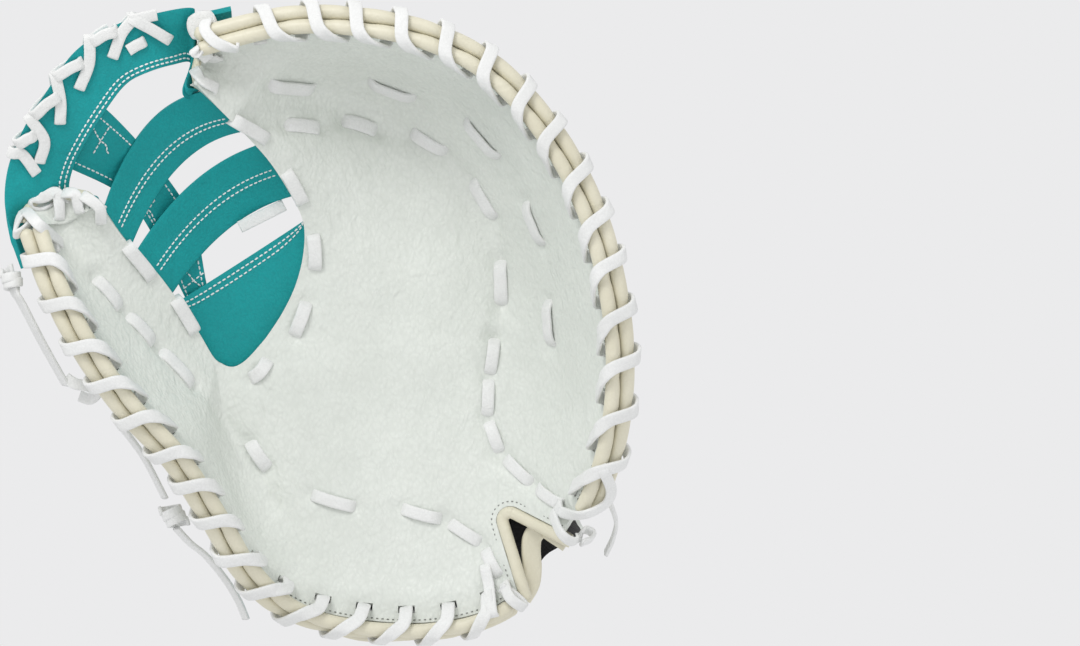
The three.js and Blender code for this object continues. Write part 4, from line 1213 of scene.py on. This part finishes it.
# %% The strap, its hook-and-loop and its patch
strap_top = band_top - 0.35 * (band_height - strap_width)
strap_bottom = strap_top - strap_width
strap_end = -0.02 * mitt_width
strap_start = strap_end + strap_length
strap_corner, square_corner = 0.49 * strap_width, 0.06 * strap_width
layer("wrist_strap_leather", strap_level, leather, rounded_box(
    strap_end, strap_start, strap_bottom, strap_top, strap_corner, square_corner),
    teal_hide, "teal_leather", "wrist_strap")
strap_edge_radius = 0.5 * leather + 0.5 * clearance
edge_out = strap_edge_radius + clearance
strap_edge = rounded_box(strap_end - edge_out, strap_start, strap_bottom - edge_out, strap_top + edge_out,
                         strap_corner + edge_out, square_corner)
strap_edge = strap_edge[strap_edge[:, 0] < 0.2 * mitt_width]
edge_roll("strap_binding_roll", strap_edge, strap_level + 0.5 * leather,
          strap_edge_radius, 1.3 * strap_edge_radius, "strap_binding")
fastener_inset, badge_inset = 0.09 * strap_width, 0.12 * strap_width
layer("fastener_pile", fastener_level, fastener_thickness, rounded_box(
    strap_end - 0.15 * strap_length, strap_end + 0.2 * strap_length, strap_bottom + fastener_inset,
    strap_top - fastener_inset, 2 * fastener_inset, 2 * fastener_inset),
    black_pile, "black_fastener", "fastener_patch")
badge_left, badge_right = strap_end + 0.225 * strap_length, strap_start - 0.175 * strap_length
badge_low, badge_high = strap_bottom + badge_inset, strap_top - badge_inset
layer("strap_patch_leather", badge_level, badge_thickness, rounded_box(
    badge_left, badge_right, badge_low, badge_high, square_corner, square_corner),
    taupe_hide, "taupe_patch", "strap_patch")

# %% Seams of the wrist
seam_in, thread_lift = 2 * mm, 0.2 * mm


def on_outside(spots, level):
    """Points and outward directions on the back's layers over plan places, by the nearest place."""
    plan = outer_face(layer_s, layer_t, level)
    out = away_from(layer_s, layer_t, wrist_open(layer_s)).reshape(-1, 3)
    found = nearest(plan[..., :2], spots)
    return plan.reshape(-1, 3)[found], out[found]


badge_border = rounded_box(badge_left + seam_in, badge_right - seam_in, badge_low + seam_in,
                           badge_high - seam_in, seam_in, seam_in)
badge_rows = [np.concatenate([badge_border, badge_border[:1]])]
for share in (0.32, 0.5, 0.68):
    y = badge_low + share * (badge_high - badge_low)
    badge_rows.append(np.array([[badge_left + 3 * seam_in, y], [badge_right - 3 * seam_in, y]]))
sew("strap_patch_stitching", [
    (on_level(row, badge_level + badge_thickness + thread_lift), down) for row in badge_rows])
strap_middle = np.array([strap_start, 0.5 * (strap_top + strap_bottom)])
strap_row = strap_middle + (strap_edge - strap_middle) * np.array([0.95, 0.78])
sew("strap_stitching", [(on_level(strap_row, strap_level + leather + thread_lift), down)])
border = band_outline[3:11]
border_rows = [border + np.array([inset, 0.4 * inset]) for inset in (4 * mm, 7 * mm)]
sew("wrist_band_stitching", [
    on_outside(through(row, 6), band_level + leather + thread_lift) for row in border_rows])

# %% The oval patch on the thumb's back
oval_middle = (5.25, 0.3)
side_patch_length, side_patch_width = 40 * mm, 16 * mm


def oval(level, rows=41, columns=13):
    """A grid over an ellipse: its half width is the root of one minus x squared."""
    x, y = grid_of(np.linspace(-1, 1, rows), np.linspace(-1, 1, columns))
    half = 0.5 * side_patch_width * np.sqrt(1 - 0.98 * x**2)
    s = s_at(length_at(oval_middle[0]) + 0.5 * side_patch_length * x)
    return outer_face(s, oval_middle[1] + half * y / across_at(s), level)


oval_level = 3 * clearance
sheet("side_patch_leather", oval(oval_level), oval(oval_level + badge_thickness), taupe_hide,
      "taupe_patch", "side_patch")
ring_angle = np.linspace(0, 2 * np.pi, 60)


def oval_ring(grow, level):
    """Places round the patch: its length and width grown, laid along the rim and across."""
    reach = np.array([0.5 * side_patch_length + grow, 0.5 * side_patch_width + grow])
    s = s_at(length_at(oval_middle[0]) + reach[0] * np.cos(ring_angle))
    t = oval_middle[1] + reach[1] * np.sin(ring_angle) / across_at(s)
    return outer_face(s, t, level), away_from(s, t, 0.0)


ring_path, ring_out = oval_ring(1.6 * mm, 1.2 * mm)
lay("side_patch_ring", [tube_arrays(ring_path[:-1], ring_out[:-1], circle(1.8 * mm, 12), closed=True)],
    cream_hide, "cream_leather")
sew("side_patch_stitching", [oval_ring(-1.6 * mm, oval_level + badge_thickness + thread_lift)])

# %% [markdown]
# The notch has a rolled binding like the window's, and a row of small stitches goes beside it and
# along the rim.

# %% The notch's binding
def palm_height(spots):
    """The pocket face's height and normal over plan places, by the nearest place of a dense grid."""
    s, t = grid_of(np.linspace(heel_run_end - 1.3, finger_run_start + 1.3, 241), np.linspace(0, 0.5, 151))
    plan = palm_face(s, t)
    found = nearest(plan[..., :2], spots)
    return plan.reshape(-1, 3)[found, 2], frame_at(s, t)[2].reshape(-1, 3)[found]


notch_line = notch_outline(-(binding_radius + clearance), 16)
heel_leg = notch_line[0] + (notch_line[1] - notch_line[0]) * np.linspace(0.52, 0.95, 6)[:, None]
finger_leg = notch_line[-1] + (notch_line[-2] - notch_line[-1]) * np.linspace(0.95, 0.62, 6)[:, None]
notch_spots = np.concatenate([heel_leg, notch_line[1:-1], finger_leg])
notch_rise, notch_normal = palm_height(notch_spots)
notch_path = np.c_[notch_spots, notch_rise - 0.5 * leather]
notch_roll = circle(1.0, 14) * np.array([binding_radius, 1.1 * binding_radius])
lay("notch_binding_roll", [tube_arrays(through(notch_path, 3), through(notch_normal, 3), notch_roll)],
    cream_hide, "cream_leather", "notch_binding")
beside = notch_outline(2.4 * mm, 16)
beside = np.concatenate([
    beside[1] + (beside[0] - beside[1]) * np.linspace(0.42, 0.02, 8)[:, None], beside[1:-1],
    beside[-2] + (beside[-1] - beside[-2]) * np.linspace(0.02, 0.3, 6)[:, None]])
beside_rise, beside_normal = palm_height(beside)
seam_rows = [(np.c_[beside, beside_rise + thread_lift], beside_normal)]
for start, end in ((thumb_run[0] + 0.1, thumb_run[1] - 0.05), (finger_run[0] + 0.05, finger_run[1] - 0.1)):
    s = even_run(start, end, 300)
    seam_rows.append(palm_skin(s, 1.6 * mm / across_at(s), thread_lift))
sew("notch_stitching", seam_rows, length=1.2 * mm, pitch=2.6 * mm, radius=0.32 * mm,
    thread=shaded_thread)

# %% [markdown]
# ## The web
# The web is a basket of teal leather between thumb and finger: a band over the top, two bars, a
# D-shaped panel in the crotch and a strap across them all on the outside. Each is a ruled strip
# between two edges, bowed outwards and sagging, with double rows of white stitches.

# %% Ruled strips of the web
crotch = palm_face(8, 1)
web_top = 0.5 * (palm_face(0, 1) + palm_face(last_section, 1))
web_axis = unit(np.array([web_top[0] - crotch[0], web_top[1] - crotch[1], 0]))
seat = 2 * clearance


def bar_point(bar, w, u, level):
    """From the thumb's edge to the finger's edge at the share u; w runs over the bar's width."""
    w, u = np.broadcast_arrays(np.asarray(w, float), np.asarray(u, float))
    start = outer_face(bar["thumb"][0] + (bar["thumb"][1] - bar["thumb"][0]) * w, 1.0, seat + level)
    end = outer_face(bar["finger"][0] + (bar["finger"][1] - bar["finger"][0]) * w, 1.0, seat + level)
    u = u[..., None]
    arch = 4 * u * (1 - u)
    return start + (end - start) * u + web_axis * bar["bow"] * arch + down * bar["sag"] * arch


def lapped(bar, w, u, level):
    """The bar's point, with u below 0 or above 1 lying on the back leather of the thumb or finger."""
    w, u = np.broadcast_arrays(np.asarray(w, float), np.asarray(u, float))
    point = bar_point(bar, w, np.clip(u, 0, 1), level)
    for key, beyond in (("thumb", np.clip(-u, 0, 1)), ("finger", np.clip(u - 1, 0, 1))):
        s = bar[key][0] + (bar[key][1] - bar[key][0]) * w
        lap = bar_lap / np.maximum(2 * bar_lap, across_at(s))
        laid = outer_face(s, 1 - lap * beyond / lap_share, seat + level)
        point = np.where((beyond > 0)[..., None], laid, point)
    return point


lap_share = 0.16
upper_bar = {"thumb": (0.25, 1.2), "finger": (21.7, 20.4), "bow": 12 * mm, "sag": 12 * mm}
middle_bar = {"thumb": (1.35, 2.35), "finger": (19.7, 17.85), "bow": 8 * mm, "sag": 12 * mm}


def web_strip(name, inner, outer, node_name):
    """A leather strip of the web, its cut edges rounded."""
    soften(sheet(name, inner, outer, teal_hide, "teal_leather", node_name))


def strip(name, place, widths, lengths, node_name):
    """A web strip between two levels of a place function."""
    w, u = grid_of(widths, lengths)
    web_strip(name, place(w, u, 0.0), place(w, u, web_leather), node_name)


def seam_on(place, w, lengths, level):
    """A seam's points and normals on a strip; a level above the leather's face is negative."""
    u = np.asarray(lengths, float)
    w = np.broadcast_to(np.asarray(w, float), u.shape)
    points = place(w, u, level)
    step = 0.01
    side = place(w + step, u, level) - place(w - step, u, level)
    normal = unit(np.cross(np.gradient(points, axis=0), side))
    return points, normal * np.where(normal[:, 2:] < 0, -1, 1)


bar_run = np.linspace(-lap_share, 1 + lap_share, 61)
seam_run = np.linspace(0.02, 0.98, 50)
for name, bar in (("upper", upper_bar), ("middle", middle_bar)):
    place = partial(lapped, bar)
    strip(f"web_bar_{name}_leather", place, np.linspace(0, 1, 13), bar_run, f"web_bar_{name}")
    sew(f"web_bar_{name}_stitching", [
        seam_on(place, w, seam_run, -0.3 * mm) for w in (0.5, 0.6)]
        + [(points, -normals) for points, normals in (
            seam_on(place, w, seam_run, web_leather + 0.3 * mm) for w in (0.1, 0.2, 0.8, 0.9))])

# %% [markdown]
# The panel fills the crotch. It laps the back leather below, and its free edge dips a little.

# %% The D-shaped panel
panel_ends = (2.5, 17)
panel_dip = 10 * mm


def panel_point(s, v, level):
    """From the palm's inner edge at s to a dipping top edge; v is the share of the way."""
    s, v = np.broadcast_arrays(np.asarray(s, float), np.asarray(v, float))
    along = (s - panel_ends[0]) / (panel_ends[1] - panel_ends[0])
    ends = outer_face(np.array(panel_ends, float), 1.0, seat + level)
    top = ends[0] + (ends[1] - ends[0]) * smooth(along)[..., None]
    top = top + down * panel_dip * np.sin(np.pi * along)[..., None]
    start = outer_face(s, 1.0, seat + level)
    return start + (top - start) * v[..., None]


panel_lap = 0.17


def panel_place(s, v, level):
    """The panel's point, with v below 0 lying on the back leather."""
    s, v = np.broadcast_arrays(np.asarray(s, float), np.asarray(v, float))
    laid = outer_face(s, 1 + np.minimum(v, 0), seat + level)
    return np.where((v < 0)[..., None], laid, panel_point(s, np.clip(v, 0, 1), level))


panel_across = np.concatenate([np.linspace(-panel_lap, -0.01, 6), np.linspace(0, 1, 15)])
panel_tip = 0.06
strip("web_panel_leather", panel_place,
      np.linspace(panel_ends[0] + panel_tip, panel_ends[1] - panel_tip, 113), panel_across, "web_panel")
panel_run = np.linspace(3.3, 16.7, 60)
panel_out = away_from(panel_run, np.ones_like(panel_run), 0.0)
sew("web_panel_stitching", [(panel_place(panel_run, v, -0.25 * mm), up_way) for v in (0.86, 0.93)]
    + [(panel_place(panel_run, v, web_leather + 0.3 * mm), panel_out) for v in (-0.05, -0.12)])

# %% [markdown]
# The band goes from tip to tip over the top of the web and laps both. It is a curve through rows
# read in the photograph, wide at the middle.

# %% The band over the top
top_band_rows = np.array([
    # outer x, outer y, outer z, inner x, inner y, inner z, as shares of the driving sizes
    [-0.583, 0.208, 0.77, -0.48, 0.23, 0.67], [-0.576, 0.27, 0.81, -0.477, 0.264, 0.72],
    [-0.546, 0.336, 0.85, -0.452, 0.31, 0.78], [-0.511, 0.388, 0.87, -0.416, 0.364, 0.8],
    [-0.467, 0.447, 0.88, -0.386, 0.399, 0.81], [-0.402, 0.488, 0.88, -0.352, 0.416, 0.82],
    [-0.33, 0.508, 0.86, -0.315, 0.428, 0.77], [-0.28, 0.515, 0.83, -0.287, 0.432, 0.7],
]) * np.array([mitt_width, mitt_length, rim_height] * 2)
top_lap_thumb = np.array([0.6, 0.3, 0.0])
top_lap_finger = last_section - np.array([0.0, 0.25, 0.5])
top_lap_rise = 6 * mm
top_lap_level = seat + web_leather + 3 * clearance


def top_band_grid(w, steps, level):
    """Curves through the laps on both tips and the rows between them, one for each share w of the
    width: at 0 the outer edge, at 1 the inner one."""
    w = np.asarray(w, float)[:, None]

    def laps(s):
        raised = top_lap_level + level + top_lap_rise * (1 - w) ** 1.5
        return outer_face(s[None], 0.02 + 0.93 * w, raised)

    free = top_band_rows[None, :, :3] * (1 - w[..., None]) + top_band_rows[None, :, 3:] * w[..., None]
    stops = np.concatenate([laps(top_lap_thumb), free + down * level, laps(top_lap_finger)], 1)
    return np.stack([through(line, steps) for line in stops])


def top_band_point(w, u, level, steps=20):
    """The band's point at the share u of its way from the first free row to the last."""
    line = top_band_grid([w], steps, level)[0]
    place = (len(top_lap_thumb) + u * (len(top_band_rows) - 1)) * steps
    return np.array([np.interp(place, np.arange(len(line)), line[:, k]) for k in range(3)])


band_widths, band_steps = np.linspace(0, 1, 17), 9
web_strip("web_top_band_leather", top_band_grid(band_widths, band_steps, 0.0),
          top_band_grid(band_widths, band_steps, web_leather), "web_top_band")
band_stretch = slice(3 * band_steps, -3 * band_steps)
sew("web_top_band_stitching", [
    (line[band_stretch], way) for level, way in ((-0.3 * mm, up_way), (web_leather + 0.3 * mm, down))
    for line in top_band_grid((0.86, 0.94), band_steps, level)])

# %% [markdown]
# A narrow strap crosses all of them on the outside and holds the web flat.

# %% The strap across the web
cross_level = web_leather + 6 * clearance
cross_middle = 0.27
upper_length = np.linalg.norm(bar_point(upper_bar, 0.5, 1, 0) - bar_point(upper_bar, 0.5, 0, 0))
cross_share = 0.5 * cross_strap_width / upper_length


def cross_stops(u):
    """The places that the strap passes at a share u of the web's width, from the band down."""
    return np.array([
        top_band_point(0.6, u + 0.03, cross_level), top_band_point(1, u + 0.01, cross_level),
        bar_point(upper_bar, 0.5, u, cross_level), bar_point(middle_bar, 0.5, u - 0.05, cross_level),
        panel_point(3.2 + 9 * u, 0.85, cross_level), panel_point(4 + 12 * u, 0.45, cross_level),
    ])


def cross_grid(widths, drop):
    """The strap's curves at those shares of its half width, moved down by drop."""
    lines = [through(cross_stops(cross_middle + w * cross_share), 14) for w in widths]
    return np.stack(lines) + down * drop


cross_widths = np.linspace(-1, 1, 9)
web_strip("web_cross_strap_leather", cross_grid(cross_widths, 0), cross_grid(cross_widths, web_leather),
          "web_cross_strap")
sew("web_cross_strap_stitching", [(line, up_way) for line in cross_grid((-0.72, 0.72), -0.25 * mm)]
    + [(line, down) for line in cross_grid((-0.8, -0.6, 0.6, 0.8), web_leather + 0.25 * mm)])

# %% [markdown]
# ## Laces read in the photograph
# Round the web and at both tips the laces don't repeat, so each is read as pixels of the palm view.
# A pixel is looked up on the grid of the leather that it crosses, which gives a place and a normal.

# %% From pixels to any leather, and a lace laid over it
def finder(*grids):
    """The look-up of one or more grids: places and upward normals of the grid points nearest to
    pixels. Of points as near as a pixel, the highest is the one that the camera sees."""
    places = np.concatenate([points.reshape(-1, 3) for points in grids])
    normals = np.concatenate([
        unit(np.cross(np.gradient(points, axis=0), np.gradient(points, axis=1))).reshape(-1, 3)
        for points in grids])
    normals = normals * np.where(normals[..., 2:] < 0, -1, 1)
    pixels = photo_pixels(places)

    def find(spots):
        picked = [np.argmin(np.maximum(((pixels - spot) ** 2).sum(-1), 1.5) - 60 * places[:, 2])
                  for spot in np.asarray(spots, float)]
        return places[picked], normals[picked]
    return find


def at_height(spots, z):
    """The places of pixels at given heights: the camera's map turned round."""
    spots = np.asarray(spots, float)
    z = np.broadcast_to(np.asarray(z, float), spots.shape[:1])
    scale = scale_at(z)
    return np.c_[photo_middle[0] + (spots[:, 0] - photo_width / 2) * scale,
                 photo_middle[1] + (photo_height / 2 - spots[:, 1]) * scale, z]


def laid(find, spots, starts, ends, lift=1.4 * mm, width=5.6 * mm, steps=7):
    """A lace over a leather. An end goes down a hole, wraps round the edge, or lies free."""
    points, normals = find(spots)
    knots, hints = list(points + normals * lift), list(normals)
    for kind, at_end in ((starts, False), (ends, True)):
        edge, normal = (points[-1], normals[-1]) if at_end else (points[0], normals[0])
        away = unit(edge - (points[-2] if at_end else points[1]))
        extra = {
            "hole": [(edge + normal * 0.2 * mm, normal + away), (edge - normal * 5 * mm, away)],
            "wrap": [(edge + away * 1.6 * mm - normal * 1.2 * mm, away),
                     (edge - away * 2.5 * mm - normal * 4.6 * mm, -normal),
                     (edge - away * 9 * mm - normal * 5 * mm, -normal)],
            "free": [],
        }[kind]
        if kind == "hole":
            knots[-1 if at_end else 0] = edge - away * 1.8 * mm + normal * lift
        for place, hint in extra:
            knots.insert(len(knots) if at_end else 0, place)
            hints.insert(len(hints) if at_end else 0, hint)
    return ribbon(knots, hints, width, lace_thickness, steps)


rim_s = np.linspace(0, last_section, 700)[:, None]
rim_turns = np.radians([140, 120, 100, 80, 60, 40, 20, 0, 0, -20, -40, -60])
rim_ups = np.array([palm_welt_up] * 8 + [back_welt_up] * 4)
rim_grid = at_rim(rim_s, welt_out + 1.05 * welt_radius * np.cos(rim_turns),
                  rim_ups + 1.05 * welt_radius * np.sin(rim_turns))
palm_grid = palm_face(search_s[::2, ::2], search_t[::2, ::2])
find_palm = finder(palm_grid, rim_grid)
find_band = finder(top_band_grid(np.linspace(0, 1, 41), 16, 0.0))

# %% Laces round the web's band
rim_laces = [
    # how it starts and ends, its lift over the leather in mm, its pixels
    ("hole", "wrap", 1.2, [(112, 57), (121, 34), (132, 13)]),
    ("hole", "wrap", 1.2, [(80, 88), (90, 62), (86, 36)]),
    ("hole", "wrap", 1.2, [(60, 124), (61, 100), (51, 76)]),
    ("hole", "wrap", 1.2, [(39, 161), (44, 140), (30, 118)]),
    ("hole", "wrap", 1.2, [(36, 172), (23, 155), (6, 150)]),
    ("hole", "wrap", 2.8, [(168, 40), (150, 27), (133, 14)]),
    ("hole", "wrap", 2.8, [(116, 31), (104, 35), (94, 40)]),
    ("hole", "wrap", 2.8, [(82, 62), (70, 67), (58, 74)]),
    ("hole", "wrap", 2.8, [(58, 96), (46, 104), (36, 112)]),
    ("hole", "wrap", 2.8, [(34, 135), (26, 139), (18, 143)]),
    ("hole", "free", 2.6, [(130, 15), (143, 10), (157, 13)]),
    ("free", "hole", 1.2, [(128, 51), (136, 46), (144, 41)]),
]
lay("web_rim_laces", [laid(find_band, spots, starts, ends, lift * mm)
                      for starts, ends, lift, spots in rim_laces], lace_hide, "lace_leather")

# %% [markdown]
# Each tip ends in two rolled welts under a cap of leather, and short laces go over them.

# %% Welts round the tips
tip_welts = {
    # the tip's s and the stretch of t that it fills, and its outline in pixels
    "finger": ((last_section, 0.0, 0.62),
               [(216, 25), (206, 34), (201, 46), (198, 60), (196, 74), (200, 88)]),
    "thumb": ((0.0, 0.0, 0.8), [(24, 222), (29, 208), (40, 198), (56, 195), (74, 196), (92, 200)]),
}
tip_paths = {}
for tip, ((end_s, t_start, t_end), spots) in tip_welts.items():
    spots = through(spots, 7)
    count = len(spots)
    edge = palm_face(np.full(count, end_s), np.linspace(t_start, t_end, count))
    path = tip_paths[tip] = at_height(spots, edge[:, 2] - 0.5 * leather)
    from_end = np.minimum(np.arange(count), np.arange(count)[::-1])
    radius = 2.4 * mm * np.sqrt(np.clip(from_end / 3, 0.05, 1))
    lower = path + down * 4 * mm + unit(path - edge) * 1.5 * mm
    lay(f"tip_welts_{tip}", [tube_arrays(line, up_way, circle(radius, 14)) for line in (path, lower)],
        cream_hide, "cream_leather")
    share = np.linspace(-0.25, 1, 9)[:, None, None]
    skin = edge * (1 - share) + path * share + up_way * 0.6 * mm
    sheet(f"tip_cap_{tip}", skin, skin + down * leather, white_hide, "white_leather")

# %% Laces of the tips
tip_grids = [np.stack([path + np.array([dx, dy, 2.4]) * mm for dx, dy in ((0, 0), (0.2, 0.1))])
             for path in tip_paths.values()]
find_tip = finder(palm_grid, rim_grid, *tip_grids)
tip_laces = [
    [(205, 19), (207, 31), (218, 43), (238, 47)], [(192, 53), (203, 58), (219, 58)],
    [(192, 71), (201, 82), (216, 88)], [(4, 217), (16, 210), (38, 225), (58, 243)],
    [(30, 199), (44, 191), (59, 203), (57, 217)], [(66, 191), (76, 198), (81, 212)],
    [(87, 195), (98, 205), (101, 223)],
]
lay("tip_laces", [laid(find_tip, spots, "wrap", "hole", 1.8 * mm) for spots in tip_laces],
    lace_hide, "lace_leather")
tab_x, tab_y = grid_of(np.linspace(-1, 1, 9), np.linspace(-1, 1, 9))
tab_spots = np.stack([202 + 15 * tab_x * np.sqrt(1 - 0.4 * tab_y**2) + 2 * tab_y,
                      25 + 14 * tab_y * np.sqrt(1 - 0.4 * tab_x**2) - 3 * tab_x], -1).reshape(-1, 2)
tab_height = top_band_point(0.3, 1.0, 0.0)[2] + 9 * mm + 2 * mm * tab_x.ravel()
tab_top = at_height(tab_spots, tab_height).reshape(*tab_x.shape, 3)
sheet("finger_tab", tab_top, tab_top + down * 1.4 * mm, suede_hide, "white_leather")

# %% [markdown]
# Loose ends keep the shape that they dried in. Each goes through pixels at heights of its own, and a
# knot is a lace wound round its strand.

# %% Strips, knots and lace ends outside the mitt
def knot(middle, axis, side, radius=3.6 * mm, turns=2.4, length=7 * mm, width=4.6 * mm):
    """A lace wound round its own strand: a helix of a few turns."""
    turn = np.linspace(0, 2 * np.pi * turns, int(12 * turns))[:, None]
    axis, side = unit(np.asarray(axis, float)), unit(np.asarray(side, float))
    third = np.cross(axis, side)
    around = side * np.cos(turn) + third * np.sin(turn)
    path = middle + around * radius + axis * length * (turn / turn.max() - 0.5)
    return ribbon(path, around, width, lace_thickness, 2)


def hanging(spots, heights, width, tilt=(0, 0, 1), steps=8):
    """A lace through pixels at their own heights, its flat side square to the tilt."""
    path = at_height(spots, np.asarray(heights) * mm)
    tilts = np.broadcast_to(unit(np.array(tilt, float)), path.shape)
    return ribbon(path, tilts, width, lace_thickness, steps)


loose_laces = {
    "thumb_strap": [
        hanging([(9, 266), (14, 290), (22, 304), (44, 346), (66, 385)], (96, 99, 97, 88, 78), 6.4 * mm,
                (-0.8, -0.3, 0.6)),
        hanging([(66, 378), (76, 384), (88, 386), (97, 392), (90, 399), (80, 396)],
                (80, 81, 80, 77, 74, 72), 5.6 * mm, (-0.3, 0.1, 1)),
        knot(at_height([(12, 280)], 99 * mm)[0], (0.3, -1, 0), (-1, 0, 0.4), 4 * mm),
    ],
    "heel_tail": [
        hanging([(123, 429), (134, 443), (146, 461), (165, 498)], (70, 69, 67, 60), 5 * mm,
                (-0.8, -0.3, 0.5)),
        knot(at_height([(174, 516)], 58 * mm)[0], (0.6, -1, -0.1), (-1, -0.3, 0.5), 4.6 * mm, 2.6, 9 * mm),
        hanging([(176, 528), (190, 543), (206, 556), (225, 579), (238, 600), (246, 619)],
                (56, 50, 42, 33, 26, 22), 4.2 * mm, (-0.6, -0.4, 0.8)),
    ],
    "notch_laces": [
        laid(find_palm, [(555, 513), (563, 532), (575, 540), (588, 534)], "hole", "wrap", 2.2 * mm),
        laid(find_palm, [(561, 504), (566, 513), (584, 512), (599, 500), (605, 485), (606, 470)],
             "hole", "wrap", 2.6 * mm),
        laid(find_palm, [(486, 564), (490, 588), (492, 612)], "hole", "wrap", 2.2 * mm),
        laid(find_palm, [(504, 582), (512, 598), (522, 604)], "hole", "wrap", 2.4 * mm),
        hanging([(604, 488), (609, 500), (616, 521), (613, 538), (606, 553)], (72, 70, 64, 58, 52),
                5.2 * mm, (1, 0.2, 0.15)),
    ],
    "web_lace_end": [
        hanging([(240, 227), (256, 219), (270, 212), (284, 205)], (44, 46, 47, 46), 6 * mm),
    ],
}
for name, parts in loose_laces.items():
    lay(name, parts, lace_hide, "lace_leather")

# %% [markdown]
# On the back, short laces hold the fingers' linings, a seam goes round the dome, and three toggles
# tie off the laces that come through from the palm.

# %% Seams, arcs and toggles of the back
def along_back(spots, level, steps=8):
    """Points and outward directions on the back leather through pixels of the back view."""
    s, t = through(on_back(spots), steps).T
    out = away_from(s, t, wrist_open(s))
    return outer_face(s, t, level + back_relief(s, t)), out


back_arcs = [[(664, 91), (685, 98), (701, 119)], [(717, 124), (731, 126), (742, 136)],
             [(670, 152), (682, 163), (688, 181)], [(610, 157), (624, 172), (631, 194)],
             [(629, 214), (643, 232), (651, 255)]]
arc_lift, arc_sink, arc_width = 1.0 * mm, 2.4 * mm, 4.6 * mm
arcs = []
for spots in back_arcs:
    path, out = along_back(spots, arc_lift)
    path[[0, -1]] -= out[[0, -1]] * arc_sink
    arcs.append(ribbon(path, out, arc_width, lace_thickness, 1))
lay("back_arc_laces", arcs, lace_hide, "lace_leather")
dome = back_channels["dome_left"][::-1] + back_channels["dome_right"][1:]
sew("back_dome_stitching", [along_back(dome, 0.3 * mm)], length=1.6 * mm, pitch=3 * mm)

toggles = []
for place, tail in (((769, 68), [(764, 76), (757, 94), (750, 113)]),
                    ((812, 56), [(804, 66), (792, 92), (779, 119)]),
                    ((808, 109), [(800, 117), (791, 137), (783, 157)])):
    middle, out = along_back([place], 3.4 * mm, 1)
    path, out_along = along_back(tail, 1.4 * mm)
    toggles.append(knot(middle[0], unit(path[-1] - path[0]), out[0], 2.6 * mm, 2.2, 6 * mm, 4 * mm))
    toggles.append(ribbon(path, out_along, 4.2 * mm, lace_thickness, 1))
lay("back_toggles", toggles, lace_hide, "lace_leather")

# %% [markdown]
# Two small things are left: the bound edge that shows behind the notch, and the crossed threads that
# hold the strap to the bars of the web.

# %% The bound strip behind the notch
strip_path = at_height([(568, 543), (556, 535), (543, 528), (533, 536), (531, 550), (532, 568), (530, 584),
                        (522, 598)], np.array([50, 49, 48, 47, 46, 45, 44, 43]) * mm)
strip_tilts = np.broadcast_to([0.25, 0, 1.0], strip_path.shape)
lay("notch_strip", [ribbon(strip_path, strip_tilts, 9.5 * mm, 4 * mm, 8)], cream_hide, "cream_leather")

# %% Zigzag blocks on the strap across the web
find_cross = finder(cross_grid(np.linspace(-1, 1, 41), 0))
zigzags = []
for x0, y0, x1, y1 in ((93, 127, 110, 154), (141, 198, 156, 221), (184, 270, 204, 290)):
    middle, half = np.array([0.5 * (x0 + x1), 0.5 * (y0 + y1)]), 0.5 * np.array([x1 - x0, y1 - y0])
    for slope in (1, -1):
        points, normals = find_cross(middle + half * np.array([1, slope]) * np.linspace(-1, 1, 9)[:, None])
        zigzags.append((points + normals * 0.3 * mm, normals))
sew("web_cross_strap_blocks", zigzags)

# %% [markdown]
# ## The floor
# The mitt lies on a plain pale floor, which glows as evenly as the world does. So it takes no shadow,
# like the ground in the photograph. Seen from below it is clear, and the mitt's back can be looked at.

# %% A plain pale floor
floor_drop, floor_half = 1 * mm, 3.0
floor_level = cad_box[0][2] - floor_drop
floor_finish, floor_tree, floor_shader = blank("pale_floor", 1.0, specular=0.0)
floor_shader.inputs["Base Color"].default_value = (0, 0, 0, 1)
floor_shader.inputs["Emission Color"].default_value = pale_ground
floor_shader.inputs["Emission Strength"].default_value = 1.0
front = node(floor_tree, "Math", {"operation": "SUBTRACT"})
front.inputs[0].default_value = 1
floor_tree.links.new(node(floor_tree, "NewGeometry").outputs["Backfacing"], front.inputs[1])
floor_tree.links.new(front.outputs[0], floor_shader.inputs["Alpha"])
floor_corners = floor_half * np.array([[-1, -1], [1, -1], [1, 1], [-1, 1]])
floor = bpy.data.objects.new("floor", put_mesh(
    "floor", np.c_[floor_corners, np.full(4, floor_level)], [np.array([[0, 1, 2, 3]])], [floor_finish]))
scene.collection.objects.link(floor)
print("floor level in mm:", round(1000 * floor_level, 1))
